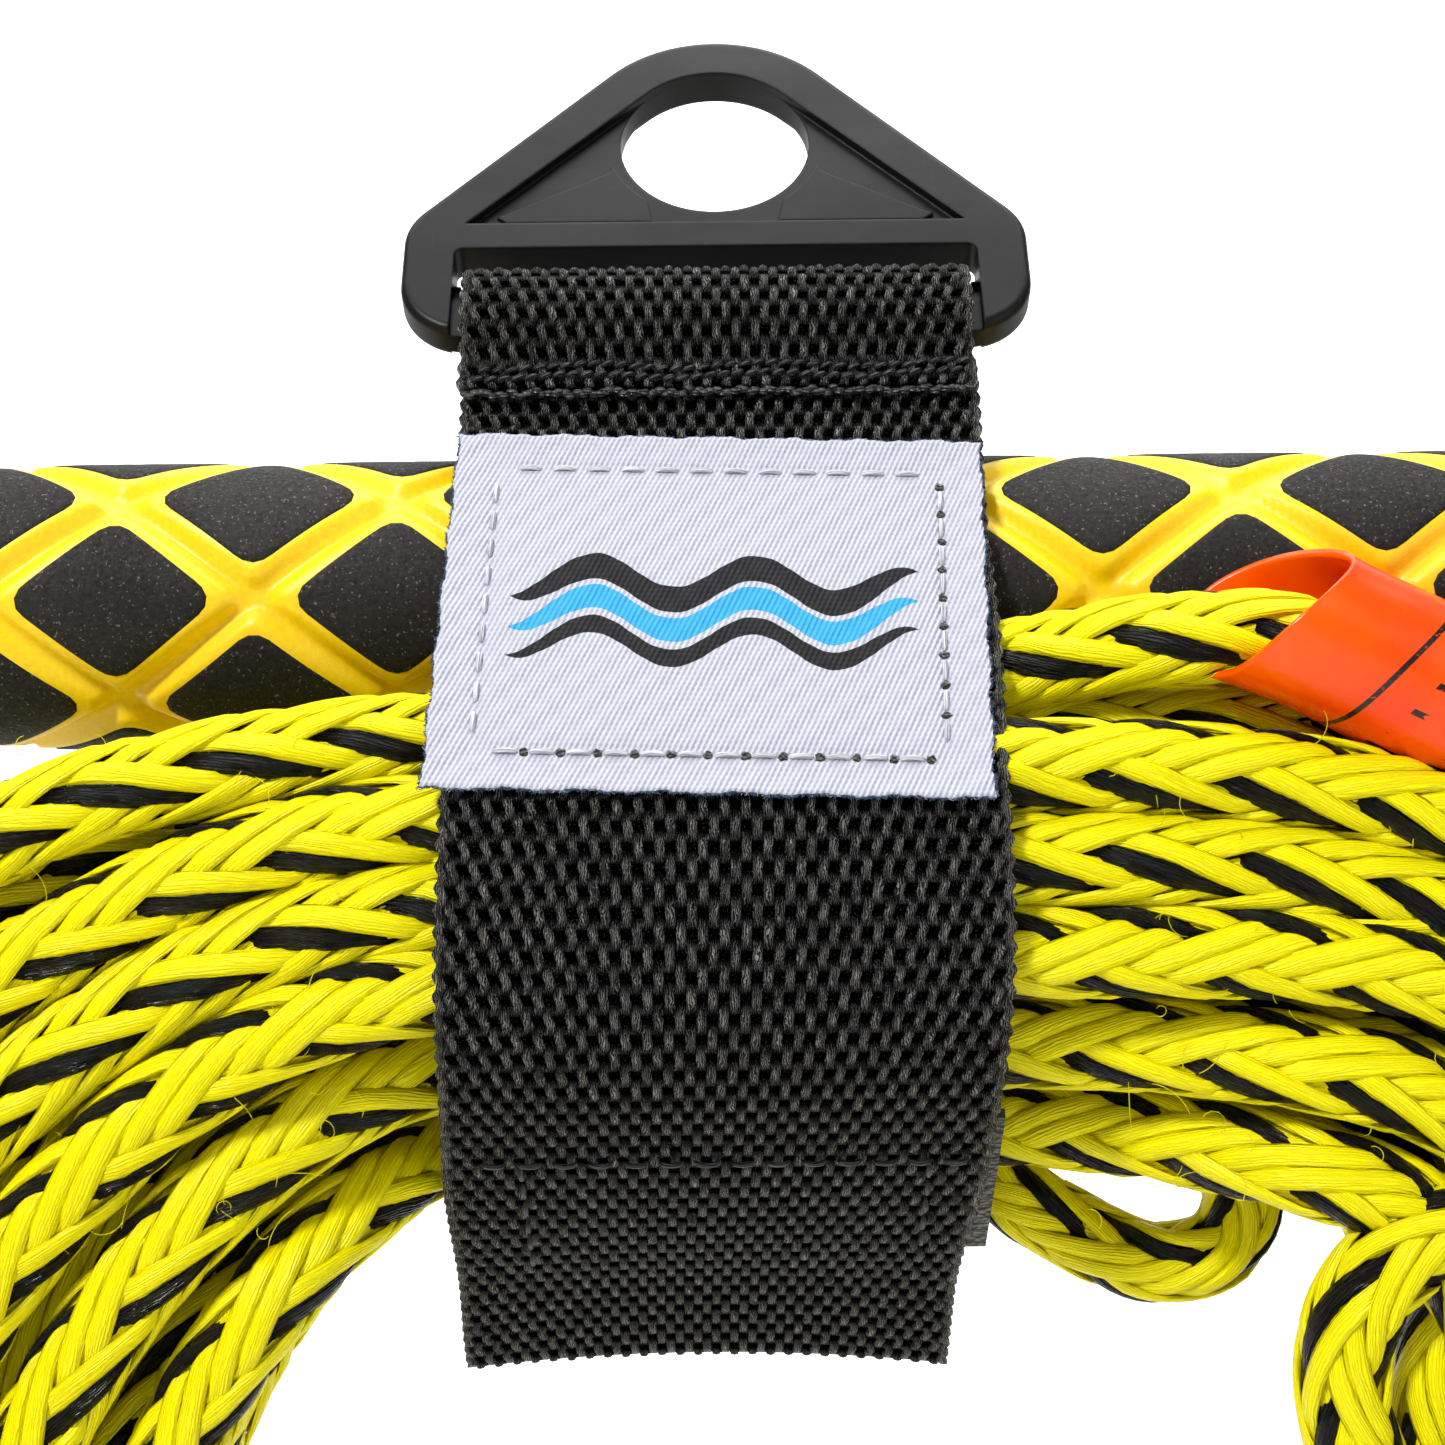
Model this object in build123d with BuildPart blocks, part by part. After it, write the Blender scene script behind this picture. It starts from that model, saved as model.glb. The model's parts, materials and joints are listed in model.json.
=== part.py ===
from build123d import *
import os
from math import cos, radians, sin

# Tow rope handle for water sports: a foam-gripped tube handle with a rope
# bridle, a coiled braided tow rope, and a webbing carry strap with a plastic
# hanger that holds the coil and the handle together.
#
# Row frame: origin at the centre of the hanger's hanging hole, +X along the
# handle, +Z up, front face towards -Y. Lengths in millimetres.

# ---- Driving dimensions -------------------------------------------------

# Handle, measured about the handle axis
BAR_Y = -13.3                 # handle axis below and in front of the hanging hole
BAR_Z = -48.6
TUBE_OUTER_R = 11.1           # 22.2 mm (7/8 in) aluminium tube
TUBE_WALL = 1.65
GRIP_LENGTH = 300.0
GRIP_FLOOR_R = 12.8           # floor of the channels between the pads
GRIP_PAD_R = 14.3             # 28.6 mm over the raised pads
GLUE_GAP = 0.02               # between bonded layers
PAD_ROWS = 8
PADS_EACH_SIDE = 6            # of each row's middle pad
PAD_PITCH = 27.1              # along the handle
PAD_SHIFT = -3.9
PAD_LENGTH = 20.5             # diamond diagonals
PAD_WIDTH = 16.0
PAD_CORNER_R = 1.6
CAP_FLANGE_R = 18.0
CAP_FLANGE_LENGTH = 12.0
CAP_SPIGOT_LENGTH = 14.0
CAP_HOLE_R = 5.6

# Rope
ROPE_R = 4.2                  # compressed radius of the 9 mm hollow braid
BRIDLE_REACH = 186.0          # straight rope through the tube, each side of centre

# Hank of coiled tow rope: rounded rectangle loop in the X-Z plane
HANK_TOP_HALF = 25.0
HANK_CORNER_R = 60.0
HANK_SIDE_LENGTH = 95.0
HANK_CENTRE_DROP = 38.0       # centre of the hank's top run below the handle axis
HANK_TOP = -19.3
HANK_BOTTOM = -62.6
HANK_FRONT = -30.6
HANK_BACK = 13.5

# Webbing, 50.8 mm (2 in) wide
STRAP_WIDTH = 50.8
STRAP_T = 1.5
LEAN = 34.0                   # the upper strap and the hanger lean back from vertical
STRAP_FRONT = -33.0           # front of the strap over the hank
SLOPE = 40.3                  # fall of the flap under the hank, below horizontal
SLOPE_CORNER = (STRAP_FRONT, -42.5)
SLOPE_LENGTH = 41.7
FLAP_END = (9.0, -80.0)
HANK_SLOPE_GAP = 6.0          # between the hank and the flap's outer surface
PATCH_T = 1.0
PATCH_WIDTH = 51.6
PATCH_START = 11.6
PATCH_END = 36.0

# Hanger, measured along the lean from the hanging hole
HANGER_T = 4.0
HOLE_R = 10.0
RIM = 5.3
HANGER_HALF_WIDTH = 32.0
SHOULDER_R = 6.5
SHOULDER_V = -14.7
FOOT_R = 7.0
FOOT_V = -20.4
SLOT_HALF_WIDTH = 26.75
SLOT_TOP = -15.9
SLOT_FOOT = -21.4
CROSSBAR_TOP = -12.4
LOWER_BAR_T = 2.4
WEB_FRONT_RECESS = 1.0
WEB_BACK_RECESS = 0.4
WEDGE_STEP = 0.5

# Sewn parts, measured along the lean from the hanging hole
PIVOT_V = -24.4               # centre of the hanger's lower bar
LOOP_R = 3.6                  # inside of the webbing loop round the lower bar
HEM_END_V = -34.4
PEEL_V = -35.2                # the flap bends away along this line
LABEL_TOP_V = -40.5
LABEL_WIDTH = 50.5
LABEL_HEIGHT = 40.7
LABEL_T = 0.35
LABEL_TILT = -2.0
STITCH_LENGTH = 2.2
STITCH_WIDTH = 0.5
STITCH_T = 0.25
STITCH_PITCH = 3.3
LABEL_STITCH_INSET = 4.0
PATCH_STITCH_HALF = 19.0

# Rope sleeve on the right bridle leg
SLEEVE_OUTER_R = 7.5
SLEEVE_INNER_R = 6.8
SLEEVE_LENGTH = 105.0
SLEEVE_MOUTH = (51.0, -23.5, -3.0)
SLEEVE_FALL = 25.0            # degrees below horizontal, away from the strap
MOUTH_SLANT = 22.0
ROPE_DROP = 1.0               # the rope rests low in the sleeve's bore

# ---- Working planes -----------------------------------------------------

bar_frame = Plane(origin=(0, BAR_Y, BAR_Z))
bar_side = Plane(origin=(0, BAR_Y, BAR_Z), x_dir=(0, 1, 0), z_dir=(1, 0, 0))
bar_front = Plane(origin=(0, BAR_Y, BAR_Z), x_dir=(1, 0, 0), z_dir=(0, -1, 0))
lean_out = (0, -cos(radians(LEAN)), sin(radians(LEAN)))
lean_plane = Plane(origin=(0, 0, 0), x_dir=(1, 0, 0), z_dir=lean_out)


def on_lean(up, out=0.0):
    """Point in bar_side: up the lean from the hanging hole, out of its plane."""
    across = up * sin(radians(LEAN)) - out * cos(radians(LEAN))
    rise = up * cos(radians(LEAN)) + out * sin(radians(LEAN))
    return (across - BAR_Y, rise - BAR_Z)


def on_slope(along, inward=0.0):
    """Point in bar_side: along the flap's slope, inward from its outer surface."""
    fall = radians(SLOPE)
    y = SLOPE_CORNER[0] + along * cos(fall) + inward * sin(fall)
    z = SLOPE_CORNER[1] - along * sin(fall) + inward * cos(fall)
    return (y, z)


def slope_plane(inward):
    """Plane on the flap's slope, with x along the handle and y up the slope."""
    y, z = on_slope(0, inward)
    fall = radians(SLOPE)
    out = (0, -sin(fall), -cos(fall))
    return Plane(origin=(0, BAR_Y + y, BAR_Z + z), x_dir=(1, 0, 0), z_dir=out)


# ---- Handle -------------------------------------------------------------

with BuildPart() as handle_tube:
    with BuildSketch(bar_side):
        Circle(TUBE_OUTER_R)
        Circle(TUBE_OUTER_R - TUBE_WALL, mode=Mode.SUBTRACT)
    extrude(amount=GRIP_LENGTH / 2, both=True)
handle_tube.part.label = "handle_tube"

with BuildPart() as grip_base_layer:
    with BuildSketch(bar_side):
        Circle(GRIP_FLOOR_R)
        Circle(TUBE_OUTER_R + GLUE_GAP, mode=Mode.SUBTRACT)
    extrude(amount=GRIP_LENGTH / 2, both=True)
grip_base_layer.part.label = "grip_base_layer"

# Diamond pads: prisms on tangent planes round the handle, cut to a thin shell
with BuildPart() as grip_diamond_pads:
    for row in range(PAD_ROWS):
        row_plane = bar_front.rotated((row * 360 / PAD_ROWS, 0, 0))
        row_shift = PAD_SHIFT + (row % 2) * PAD_PITCH / 2
        centres = [(row_shift + k * PAD_PITCH, 0) for k in range(-PADS_EACH_SIDE, PADS_EACH_SIDE + 1)]
        diamond = [(PAD_LENGTH / 2, 0), (0, PAD_WIDTH / 2), (-PAD_LENGTH / 2, 0), (0, -PAD_WIDTH / 2)]
        with BuildSketch(row_plane.offset(GRIP_PAD_R - 3)) as pad_row:
            with Locations(*centres):
                Polygon(*diamond)
            fillet(pad_row.vertices(), PAD_CORNER_R)
        extrude(amount=4)
    with BuildSketch(bar_side):
        Circle(GRIP_PAD_R)
        Circle(GRIP_FLOOR_R + GLUE_GAP, mode=Mode.SUBTRACT)
    extrude(amount=GRIP_LENGTH / 2 - 1, both=True, mode=Mode.INTERSECT)
grip_diamond_pads.part.label = "grip_diamond_pads"

with BuildPart() as right_end_cap:
    with BuildSketch(bar_side.offset(GRIP_LENGTH / 2)):
        Circle(CAP_FLANGE_R)
    extrude(amount=CAP_FLANGE_LENGTH)
    flange_edges = right_end_cap.edges().filter_by(GeomType.CIRCLE)
    fillet(flange_edges, 3)
    with BuildSketch(bar_side.offset(GRIP_LENGTH / 2)):
        Circle(TUBE_OUTER_R - TUBE_WALL)
    extrude(amount=-CAP_SPIGOT_LENGTH)
    with BuildSketch(bar_side.offset(GRIP_LENGTH / 2 - CAP_SPIGOT_LENGTH)):
        Circle(CAP_HOLE_R)
    extrude(amount=CAP_SPIGOT_LENGTH + CAP_FLANGE_LENGTH, mode=Mode.SUBTRACT)
    rope_mouth = right_end_cap.faces().sort_by(Axis.X)[-1].edges().sort_by(SortBy.RADIUS)[0]
    fillet(rope_mouth, 2)
right_end_cap.part.label = "right_end_cap"

with BuildPart() as left_end_cap:
    mirror(right_end_cap.part, about=Plane.YZ)
left_end_cap.part.label = "left_end_cap"

# ---- Rope ---------------------------------------------------------------

fall = radians(SLEEVE_FALL)
along_sleeve = (cos(fall), 0, -sin(fall))


def in_sleeve(distance, drop=0.0):
    """Point in bar_frame: along the sleeve's axis from its mouth, dropped square to it."""
    x = SLEEVE_MOUTH[0] + distance * cos(fall) - drop * sin(fall)
    z = SLEEVE_MOUTH[2] - distance * sin(fall) - drop * cos(fall)
    return (x, SLEEVE_MOUTH[1], z)


# Bridle: through the tube, round both ends and back along the front, where
# both legs pass under the strap
with BuildPart() as bridle_rope:
    with BuildLine(bar_frame) as bridle_path:
        FilletPolyline(
            (-BRIDLE_REACH + 20, 0, 0),
            (-BRIDLE_REACH - 18, 0, 0),
            (-BRIDLE_REACH - 10, -23, -54),
            (-125, -24, -54),
            (-66, -24, -21),
            (-25.4, -20.8, -13.6),
            (37, -16.8, -7.6),
            in_sleeve(-2, ROPE_DROP),
            in_sleeve(SLEEVE_LENGTH + 30, ROPE_DROP),
            (BRIDLE_REACH + 24, -14, -58),
            (BRIDLE_REACH + 20, 0, 0),
            (BRIDLE_REACH - 20, 0, 0),
            radius=[15, 15, 20, 20, 30, 12, 12, 14, 15, 15],
        )
    with BuildSketch(bar_side.offset(-BRIDLE_REACH + 20)):
        Circle(ROPE_R)
    sweep(path=bridle_path.wires()[0])
    with BuildSketch(bar_side.offset(-BRIDLE_REACH + 20)):
        Circle(ROPE_R)
    extrude(amount=2 * BRIDLE_REACH - 40)
bridle_rope.part.label = "bridle_rope"

# Tow rope: the coiled hank as one soft ring, with the small eye at its boat end
hank_side_x = HANK_TOP_HALF + HANK_CORNER_R
hank_shoulder_z = -HANK_CENTRE_DROP - HANK_CORNER_R
hank_foot_z = hank_shoulder_z - HANK_SIDE_LENGTH
with BuildPart() as tow_rope:
    with BuildLine(bar_front) as hank_path:
        Line((0, -HANK_CENTRE_DROP), (HANK_TOP_HALF, -HANK_CENTRE_DROP))
        JernArc((HANK_TOP_HALF, -HANK_CENTRE_DROP), (1, 0), HANK_CORNER_R, -90)
        Line((hank_side_x, hank_shoulder_z), (hank_side_x, hank_foot_z))
        JernArc((hank_side_x, hank_foot_z), (0, -1), hank_side_x, -180)
        Line((-hank_side_x, hank_foot_z), (-hank_side_x, hank_shoulder_z))
        JernArc((-hank_side_x, hank_shoulder_z), (0, 1), HANK_CORNER_R, -90)
        Line((-HANK_TOP_HALF, -HANK_CENTRE_DROP), (0, -HANK_CENTRE_DROP))
    with BuildSketch(bar_side):
        with BuildLine():
            FilletPolyline(
                (HANK_FRONT + 4, HANK_TOP),
                (HANK_FRONT, HANK_TOP - 4),
                (HANK_FRONT, -36),
                on_slope(8, HANK_SLOPE_GAP),
                on_slope(37.6, HANK_SLOPE_GAP),
                (9, HANK_BOTTOM),
                (HANK_BACK, -57),
                (HANK_BACK, HANK_TOP),
                radius=2.5,
                close=True,
            )
        make_face()
    sweep(path=hank_path.wires()[0])
    with BuildLine(bar_frame) as eye_path:
        FilletPolyline(
            (10, 0, -50),
            (26, 0, -57.2),
            (46, -3, -69.0),
            (52, -4, -58.5),
            (38, -2, -44),
            radius=[12, 6, 6],
        )
    with BuildSketch(Plane(eye_path.line @ 0, z_dir=eye_path.line % 0)):
        Circle(ROPE_R)
    sweep(path=eye_path.line)
tow_rope.part.label = "tow_rope"

with BuildPart() as rope_sleeve:
    sleeve_origin = bar_frame.from_local_coords(SLEEVE_MOUTH)
    sleeve_plane = Plane(origin=sleeve_origin, x_dir=(0, 1, 0), z_dir=along_sleeve)
    with BuildSketch(sleeve_plane):
        Circle(SLEEVE_OUTER_R)
        Circle(SLEEVE_INNER_R, mode=Mode.SUBTRACT)
    extrude(amount=SLEEVE_LENGTH)
    split(bisect_by=sleeve_plane.offset(3).rotated((MOUTH_SLANT, 0, 0)), keep=Keep.TOP)
rope_sleeve.part.label = "rope_sleeve"

# ---- Webbing strap ------------------------------------------------------

# Back strap: hem over the hanger's lower bar, behind the handle, under the
# hank and up inside the flap. The line is its inner surface.
with BuildPart() as back_strap:
    with BuildSketch(bar_side):
        with BuildLine():
            FilletPolyline(
                on_lean(HEM_END_V),
                on_lean(PIVOT_V - 6),
                on_lean(PIVOT_V - 2.5, LOOP_R),
                on_lean(PIVOT_V + LOOP_R, LOOP_R),
                on_lean(PIVOT_V + LOOP_R, -LOOP_R),
                on_lean(PIVOT_V - 2.5, -LOOP_R),
                on_lean(PIVOT_V - 6, -STRAP_T),
                on_lean(PEEL_V, -STRAP_T),
                (15.8, 14.6),
                (15.8, HANK_BOTTOM - 1),
                on_slope(39, HANK_SLOPE_GAP - 0.5),
                on_slope(PATCH_START, HANK_SLOPE_GAP - 0.5),
                radius=[2, 2, 3, 3, 2, 2, 2.5, 15, 9, 5],
            )
            offset(amount=STRAP_T, side=Side.LEFT)
        make_face()
    extrude(amount=STRAP_WIDTH / 2, both=True)
back_strap.part.label = "back_strap"

with BuildPart() as front_strap_sewn_end:
    with BuildSketch(bar_side):
        with BuildLine():
            Polyline(
                on_lean(PEEL_V + 0.6),
                on_lean(PIVOT_V - 6.2),
                on_lean(PIVOT_V - 6.2, -STRAP_T),
                on_lean(PEEL_V + 0.6, -STRAP_T),
                close=True,
            )
        make_face()
    extrude(amount=STRAP_WIDTH / 2, both=True)
front_strap_sewn_end.part.label = "front_strap_sewn_end"

# Front strap: from the peel line down over the hank to the tail of the flap.
# The line is its outer surface.
lean_to_front = (STRAP_FRONT + BAR_Y) / sin(radians(LEAN))
with BuildPart() as front_strap:
    with BuildSketch(bar_side):
        with BuildLine():
            FilletPolyline(
                on_lean(PEEL_V - 0.05),
                on_lean(lean_to_front),
                SLOPE_CORNER,
                on_slope(SLOPE_LENGTH),
                FLAP_END,
                radius=[20, 18, 20],
            )
            offset(amount=STRAP_T, side=Side.LEFT)
        make_face()
    extrude(amount=STRAP_WIDTH / 2, both=True)
front_strap.part.label = "front_strap"


def patch_outline(depth, thickness):
    """Closed line in bar_side: a patch along the slope, its outer face at a depth."""
    return Polyline(
        on_slope(PATCH_START, depth),
        on_slope(PATCH_END, depth),
        on_slope(PATCH_END, depth + thickness),
        on_slope(PATCH_START, depth + thickness),
        close=True,
    )


with BuildPart() as hook_patch:
    with BuildSketch(bar_side):
        with BuildLine():
            patch_outline(STRAP_T, PATCH_T)
        make_face()
    extrude(amount=PATCH_WIDTH / 2, both=True)
hook_patch.part.label = "hook_patch"

loop_patch_depth = STRAP_T + PATCH_T + 0.05
with BuildPart() as loop_patch:
    with BuildSketch(bar_side):
        with BuildLine():
            patch_outline(loop_patch_depth, HANK_SLOPE_GAP - 0.5 - STRAP_T - loop_patch_depth)
        make_face()
    extrude(amount=STRAP_WIDTH / 2, both=True)
loop_patch.part.label = "loop_patch"

# ---- Label and stitching ------------------------------------------------

label_place = Location((0, LABEL_TOP_V - LABEL_HEIGHT / 2, 0), (0, 0, LABEL_TILT))
with BuildPart() as label:
    with BuildSketch(lean_plane):
        with Locations(label_place):
            Rectangle(LABEL_WIDTH, LABEL_HEIGHT)
    extrude(amount=LABEL_T)
label.part.label = "label"


def stitch_row(length):
    """Centres of the stitches in a straight row of the given length."""
    count = int(length / STITCH_PITCH)
    start = -(count - 1) * STITCH_PITCH / 2
    return [start + k * STITCH_PITCH for k in range(count)]


stitch_half_w = LABEL_WIDTH / 2 - LABEL_STITCH_INSET
stitch_half_h = LABEL_HEIGHT / 2 - LABEL_STITCH_INSET
across_row = stitch_row(2 * stitch_half_w)
side_row = stitch_row(2 * stitch_half_h)
with BuildPart() as label_stitching:
    with BuildSketch(lean_plane.offset(LABEL_T)):
        with Locations(label_place):
            for edge_y in (-stitch_half_h, stitch_half_h):
                with Locations(*[(x, edge_y) for x in across_row]):
                    SlotOverall(STITCH_LENGTH, STITCH_WIDTH)
            for edge_x in (-stitch_half_w, stitch_half_w):
                with Locations(*[(edge_x, y) for y in side_row]):
                    SlotOverall(STITCH_LENGTH, STITCH_WIDTH, rotation=90)
    extrude(amount=STITCH_T)
label_stitching.part.label = "label_stitching"

with BuildPart() as hem_stitching:
    with BuildSketch(lean_plane.offset(STRAP_T)):
        with Locations(*[(x, HEM_END_V + 1.4) for x in stitch_row(STRAP_WIDTH)]):
            SlotOverall(STITCH_LENGTH, STITCH_WIDTH)
    extrude(amount=STITCH_T)
hem_stitching.part.label = "hem_stitching"


def box_stitches():
    """Three sides of a stitched box, in a slope plane's coordinates."""
    top = -PATCH_START - 4.5
    foot = -PATCH_END + 3
    with Locations(*[(x, top) for x in stitch_row(STRAP_WIDTH - 4)]):
        SlotOverall(STITCH_LENGTH, STITCH_WIDTH)
    middle = (top + foot) / 2
    rows = stitch_row(top - foot - STITCH_PITCH)
    for edge_x in (-PATCH_STITCH_HALF, PATCH_STITCH_HALF):
        with Locations(*[(edge_x, middle + y) for y in rows]):
            SlotOverall(STITCH_LENGTH, STITCH_WIDTH, rotation=90)


with BuildPart() as hook_patch_stitching:
    with BuildSketch(slope_plane(0)):
        box_stitches()
    extrude(amount=STITCH_T)
hook_patch_stitching.part.label = "hook_patch_stitching"

with BuildPart() as loop_patch_stitching:
    with BuildSketch(slope_plane(HANK_SLOPE_GAP - 0.5)):
        box_stitches()
    extrude(amount=-STITCH_T)
loop_patch_stitching.part.label = "loop_patch_stitching"

# ---- Hanger -------------------------------------------------------------

shoulder_x = HANGER_HALF_WIDTH - SHOULDER_R
foot_x = HANGER_HALF_WIDTH - FOOT_R
with BuildPart() as hanger:
    with BuildSketch(lean_plane.offset(-HANGER_T / 2)) as hanger_outline:
        Circle(HOLE_R + RIM)
        with Locations((-shoulder_x, SHOULDER_V), (shoulder_x, SHOULDER_V)):
            Circle(SHOULDER_R)
        with Locations((-foot_x, FOOT_V), (foot_x, FOOT_V)):
            Circle(FOOT_R)
        make_hull()
    extrude(amount=HANGER_T)
    fillet(hanger.edges(), 0.9)
    # Recessed web between the rim and the crossbar, front then back
    for face_offset, depth in ((HANGER_T / 2, -WEB_FRONT_RECESS), (-HANGER_T / 2, WEB_BACK_RECESS)):
        with BuildSketch(lean_plane.offset(face_offset)):
            Circle(HOLE_R + 0.01)
            with Locations((-shoulder_x, SHOULDER_V), (shoulder_x, SHOULDER_V)):
                Circle(SHOULDER_R - RIM + 0.6)
            make_hull()
            with Locations((0, CROSSBAR_TOP + 30)):
                Rectangle(90, 60, mode=Mode.INTERSECT)
        extrude(amount=depth, mode=Mode.SUBTRACT)
    # Shallower wedge panels each side of the hole, above the sunk groove
    with BuildSketch(lean_plane.offset(HANGER_T / 2 - WEB_FRONT_RECESS)) as wedge_panels:
        with BuildLine():
            Polyline((8.8, 0.5), (11.2, -4.6), (22.6, -11.0), (21.5, -11.9), (6.5, -11.9), close=True)
        make_face()
        mirror(about=Plane.YZ)
        Circle(HOLE_R + 1.2, mode=Mode.SUBTRACT)
    extrude(amount=WEDGE_STEP)
    with BuildSketch(lean_plane.offset(-HANGER_T / 2)):
        Circle(HOLE_R)
        with Locations((0, (SLOT_TOP + SLOT_FOOT) / 2)):
            RectangleRounded(2 * SLOT_HALF_WIDTH, SLOT_TOP - SLOT_FOOT, 1)
    extrude(amount=HANGER_T, mode=Mode.SUBTRACT)
    # Thin lower bar for the webbing
    lower_bar_foot = FOOT_V - FOOT_R
    bar_step = (HANGER_T - LOWER_BAR_T) / 2
    for face_offset, depth in ((HANGER_T / 2, -bar_step), (-HANGER_T / 2, bar_step)):
        with BuildSketch(lean_plane.offset(face_offset)):
            with Locations((0, (SLOT_FOOT + lower_bar_foot) / 2 - 0.5)):
                Rectangle(2 * SLOT_HALF_WIDTH, SLOT_FOOT - lower_bar_foot + 1)
        extrude(amount=depth, mode=Mode.SUBTRACT)
hanger.part.label = "hanger"

# ---- Export -------------------------------------------------------------

os.makedirs("parts", exist_ok=True)
export_step(handle_tube.part, "parts/handle_tube.step")
export_step(grip_base_layer.part, "parts/grip_base_layer.step")
export_step(grip_diamond_pads.part, "parts/grip_diamond_pads.step")
export_step(left_end_cap.part, "parts/left_end_cap.step")
export_step(right_end_cap.part, "parts/right_end_cap.step")
export_step(bridle_rope.part, "parts/bridle_rope.step")
export_step(tow_rope.part, "parts/tow_rope.step")
export_step(rope_sleeve.part, "parts/rope_sleeve.step")
export_step(back_strap.part, "parts/back_strap.step")
export_step(front_strap_sewn_end.part, "parts/front_strap_sewn_end.step")
export_step(front_strap.part, "parts/front_strap.step")
export_step(hook_patch.part, "parts/hook_patch.step")
export_step(loop_patch.part, "parts/loop_patch.step")
export_step(label.part, "parts/label.step")
export_step(label_stitching.part, "parts/label_stitching.step")
export_step(hem_stitching.part, "parts/hem_stitching.step")
export_step(hook_patch_stitching.part, "parts/hook_patch_stitching.step")
export_step(loop_patch_stitching.part, "parts/loop_patch_stitching.step")
export_step(hanger.part, "parts/hanger.step")
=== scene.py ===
import json
import math

import bpy
import numpy as np
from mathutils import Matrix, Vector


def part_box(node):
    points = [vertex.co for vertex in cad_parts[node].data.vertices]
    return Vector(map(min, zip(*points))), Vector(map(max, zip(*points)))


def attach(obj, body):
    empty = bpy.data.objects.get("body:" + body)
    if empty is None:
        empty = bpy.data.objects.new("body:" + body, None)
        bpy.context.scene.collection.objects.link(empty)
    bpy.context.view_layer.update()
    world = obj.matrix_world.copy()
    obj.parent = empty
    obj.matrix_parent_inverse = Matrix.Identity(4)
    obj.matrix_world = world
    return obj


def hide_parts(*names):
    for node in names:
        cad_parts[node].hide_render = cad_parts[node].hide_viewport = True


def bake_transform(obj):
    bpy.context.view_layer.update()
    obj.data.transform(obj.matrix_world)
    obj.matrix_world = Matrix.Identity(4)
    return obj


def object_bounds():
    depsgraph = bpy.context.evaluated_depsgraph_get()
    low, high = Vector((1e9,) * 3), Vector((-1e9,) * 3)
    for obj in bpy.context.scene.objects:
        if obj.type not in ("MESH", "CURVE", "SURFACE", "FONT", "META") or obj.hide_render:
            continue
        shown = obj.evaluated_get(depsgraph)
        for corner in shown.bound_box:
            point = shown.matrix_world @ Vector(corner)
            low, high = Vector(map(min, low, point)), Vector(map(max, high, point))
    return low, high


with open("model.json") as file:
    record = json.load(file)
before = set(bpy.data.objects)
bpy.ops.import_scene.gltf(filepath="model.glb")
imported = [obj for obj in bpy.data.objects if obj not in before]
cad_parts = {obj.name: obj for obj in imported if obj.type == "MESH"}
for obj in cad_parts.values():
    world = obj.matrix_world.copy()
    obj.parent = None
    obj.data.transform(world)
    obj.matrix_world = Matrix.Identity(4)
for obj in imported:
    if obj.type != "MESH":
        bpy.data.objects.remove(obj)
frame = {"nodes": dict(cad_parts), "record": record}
cad_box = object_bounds()

# Tow rope handle: looks built round the CAD frame. Shapes are worked out in
# millimetres from the handle's axis (x along the handle, y away from the
# camera, z up) and moved to the row frame in metres when a piece is made.

MM = 0.001
TAU = 2 * math.pi
JOINTS = {j["name"]: j for j in frame["record"]["behaviour"]["joints"]}
BAR = np.array(JOINTS["grip_spin"]["pos_m"])
PEEL = np.array(JOINTS["flap_peel"]["pos_m"])
LOOP_PIVOT = (np.array(JOINTS["hanger_pivot"]["pos_m"]) - BAR) / MM
LEAN_UP = PEEL - np.array(JOINTS["hanger_pivot"]["pos_m"])
LEAN_UP = -LEAN_UP[1:] / np.linalg.norm(LEAN_UP)
LEAN_OUT = np.array([-LEAN_UP[1], LEAN_UP[0]])
PAD_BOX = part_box("grip_diamond_pads")
PAD_R = (PAD_BOX[1][2] - PAD_BOX[0][2]) / 2 / MM
GRIP_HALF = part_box("grip_base_layer")[1][0] / MM
STRAP_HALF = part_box("front_strap")[1][0] / MM
SLEEVE_RUN = np.array(JOINTS["sleeve_slide"]["axis"])
SLEEVE_RUN = SLEEVE_RUN / np.linalg.norm(SLEEVE_RUN)
SLEEVE_UP = np.array([-SLEEVE_RUN[2], 0, SLEEVE_RUN[0]])
SLEEVE_MOUTH = np.array([51.0, -23.5, -3.0])
rng = np.random.default_rng(7)


# ---- Geometry helpers -----------------------------------------------------

def unit(v):
    return v / np.maximum(np.linalg.norm(v, axis=-1, keepdims=True), 1e-12)


def smoothstep(low, high, x):
    t = np.clip((x - low) / (high - low), 0, 1)
    return t * t * (3 - 2 * t)


def add_object(name, data):
    obj = bpy.data.objects.new(name, data)
    bpy.context.scene.collection.objects.link(obj)
    return obj


def make_piece(name, verts, faces, mats, body, uv=None, index=None):
    """A mesh piece from millimetre points round the handle's axis."""
    mesh = bpy.data.meshes.new(name)
    points = np.asarray(verts, float).reshape(-1, 3) * MM + BAR
    mesh.from_pydata(points.tolist(), [], [list(map(int, f)) for f in faces])
    if uv is not None:
        corners = np.zeros(len(mesh.loops), dtype=np.int32)
        mesh.loops.foreach_get("vertex_index", corners)
        layer = mesh.uv_layers.new(name="UVMap")
        spread = np.asarray(uv, np.float32).reshape(-1, 2)
        layer.data.foreach_set("uv", spread[corners].ravel())
    for m in mats:
        mesh.materials.append(m)
    if index is not None:
        mesh.polygons.foreach_set("material_index", np.asarray(index, np.int32))
    mesh.polygons.foreach_set("use_smooth", [True] * len(mesh.polygons))
    mesh.update()
    obj = add_object(name, mesh)
    if body:
        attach(obj, body)
    return obj


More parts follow.
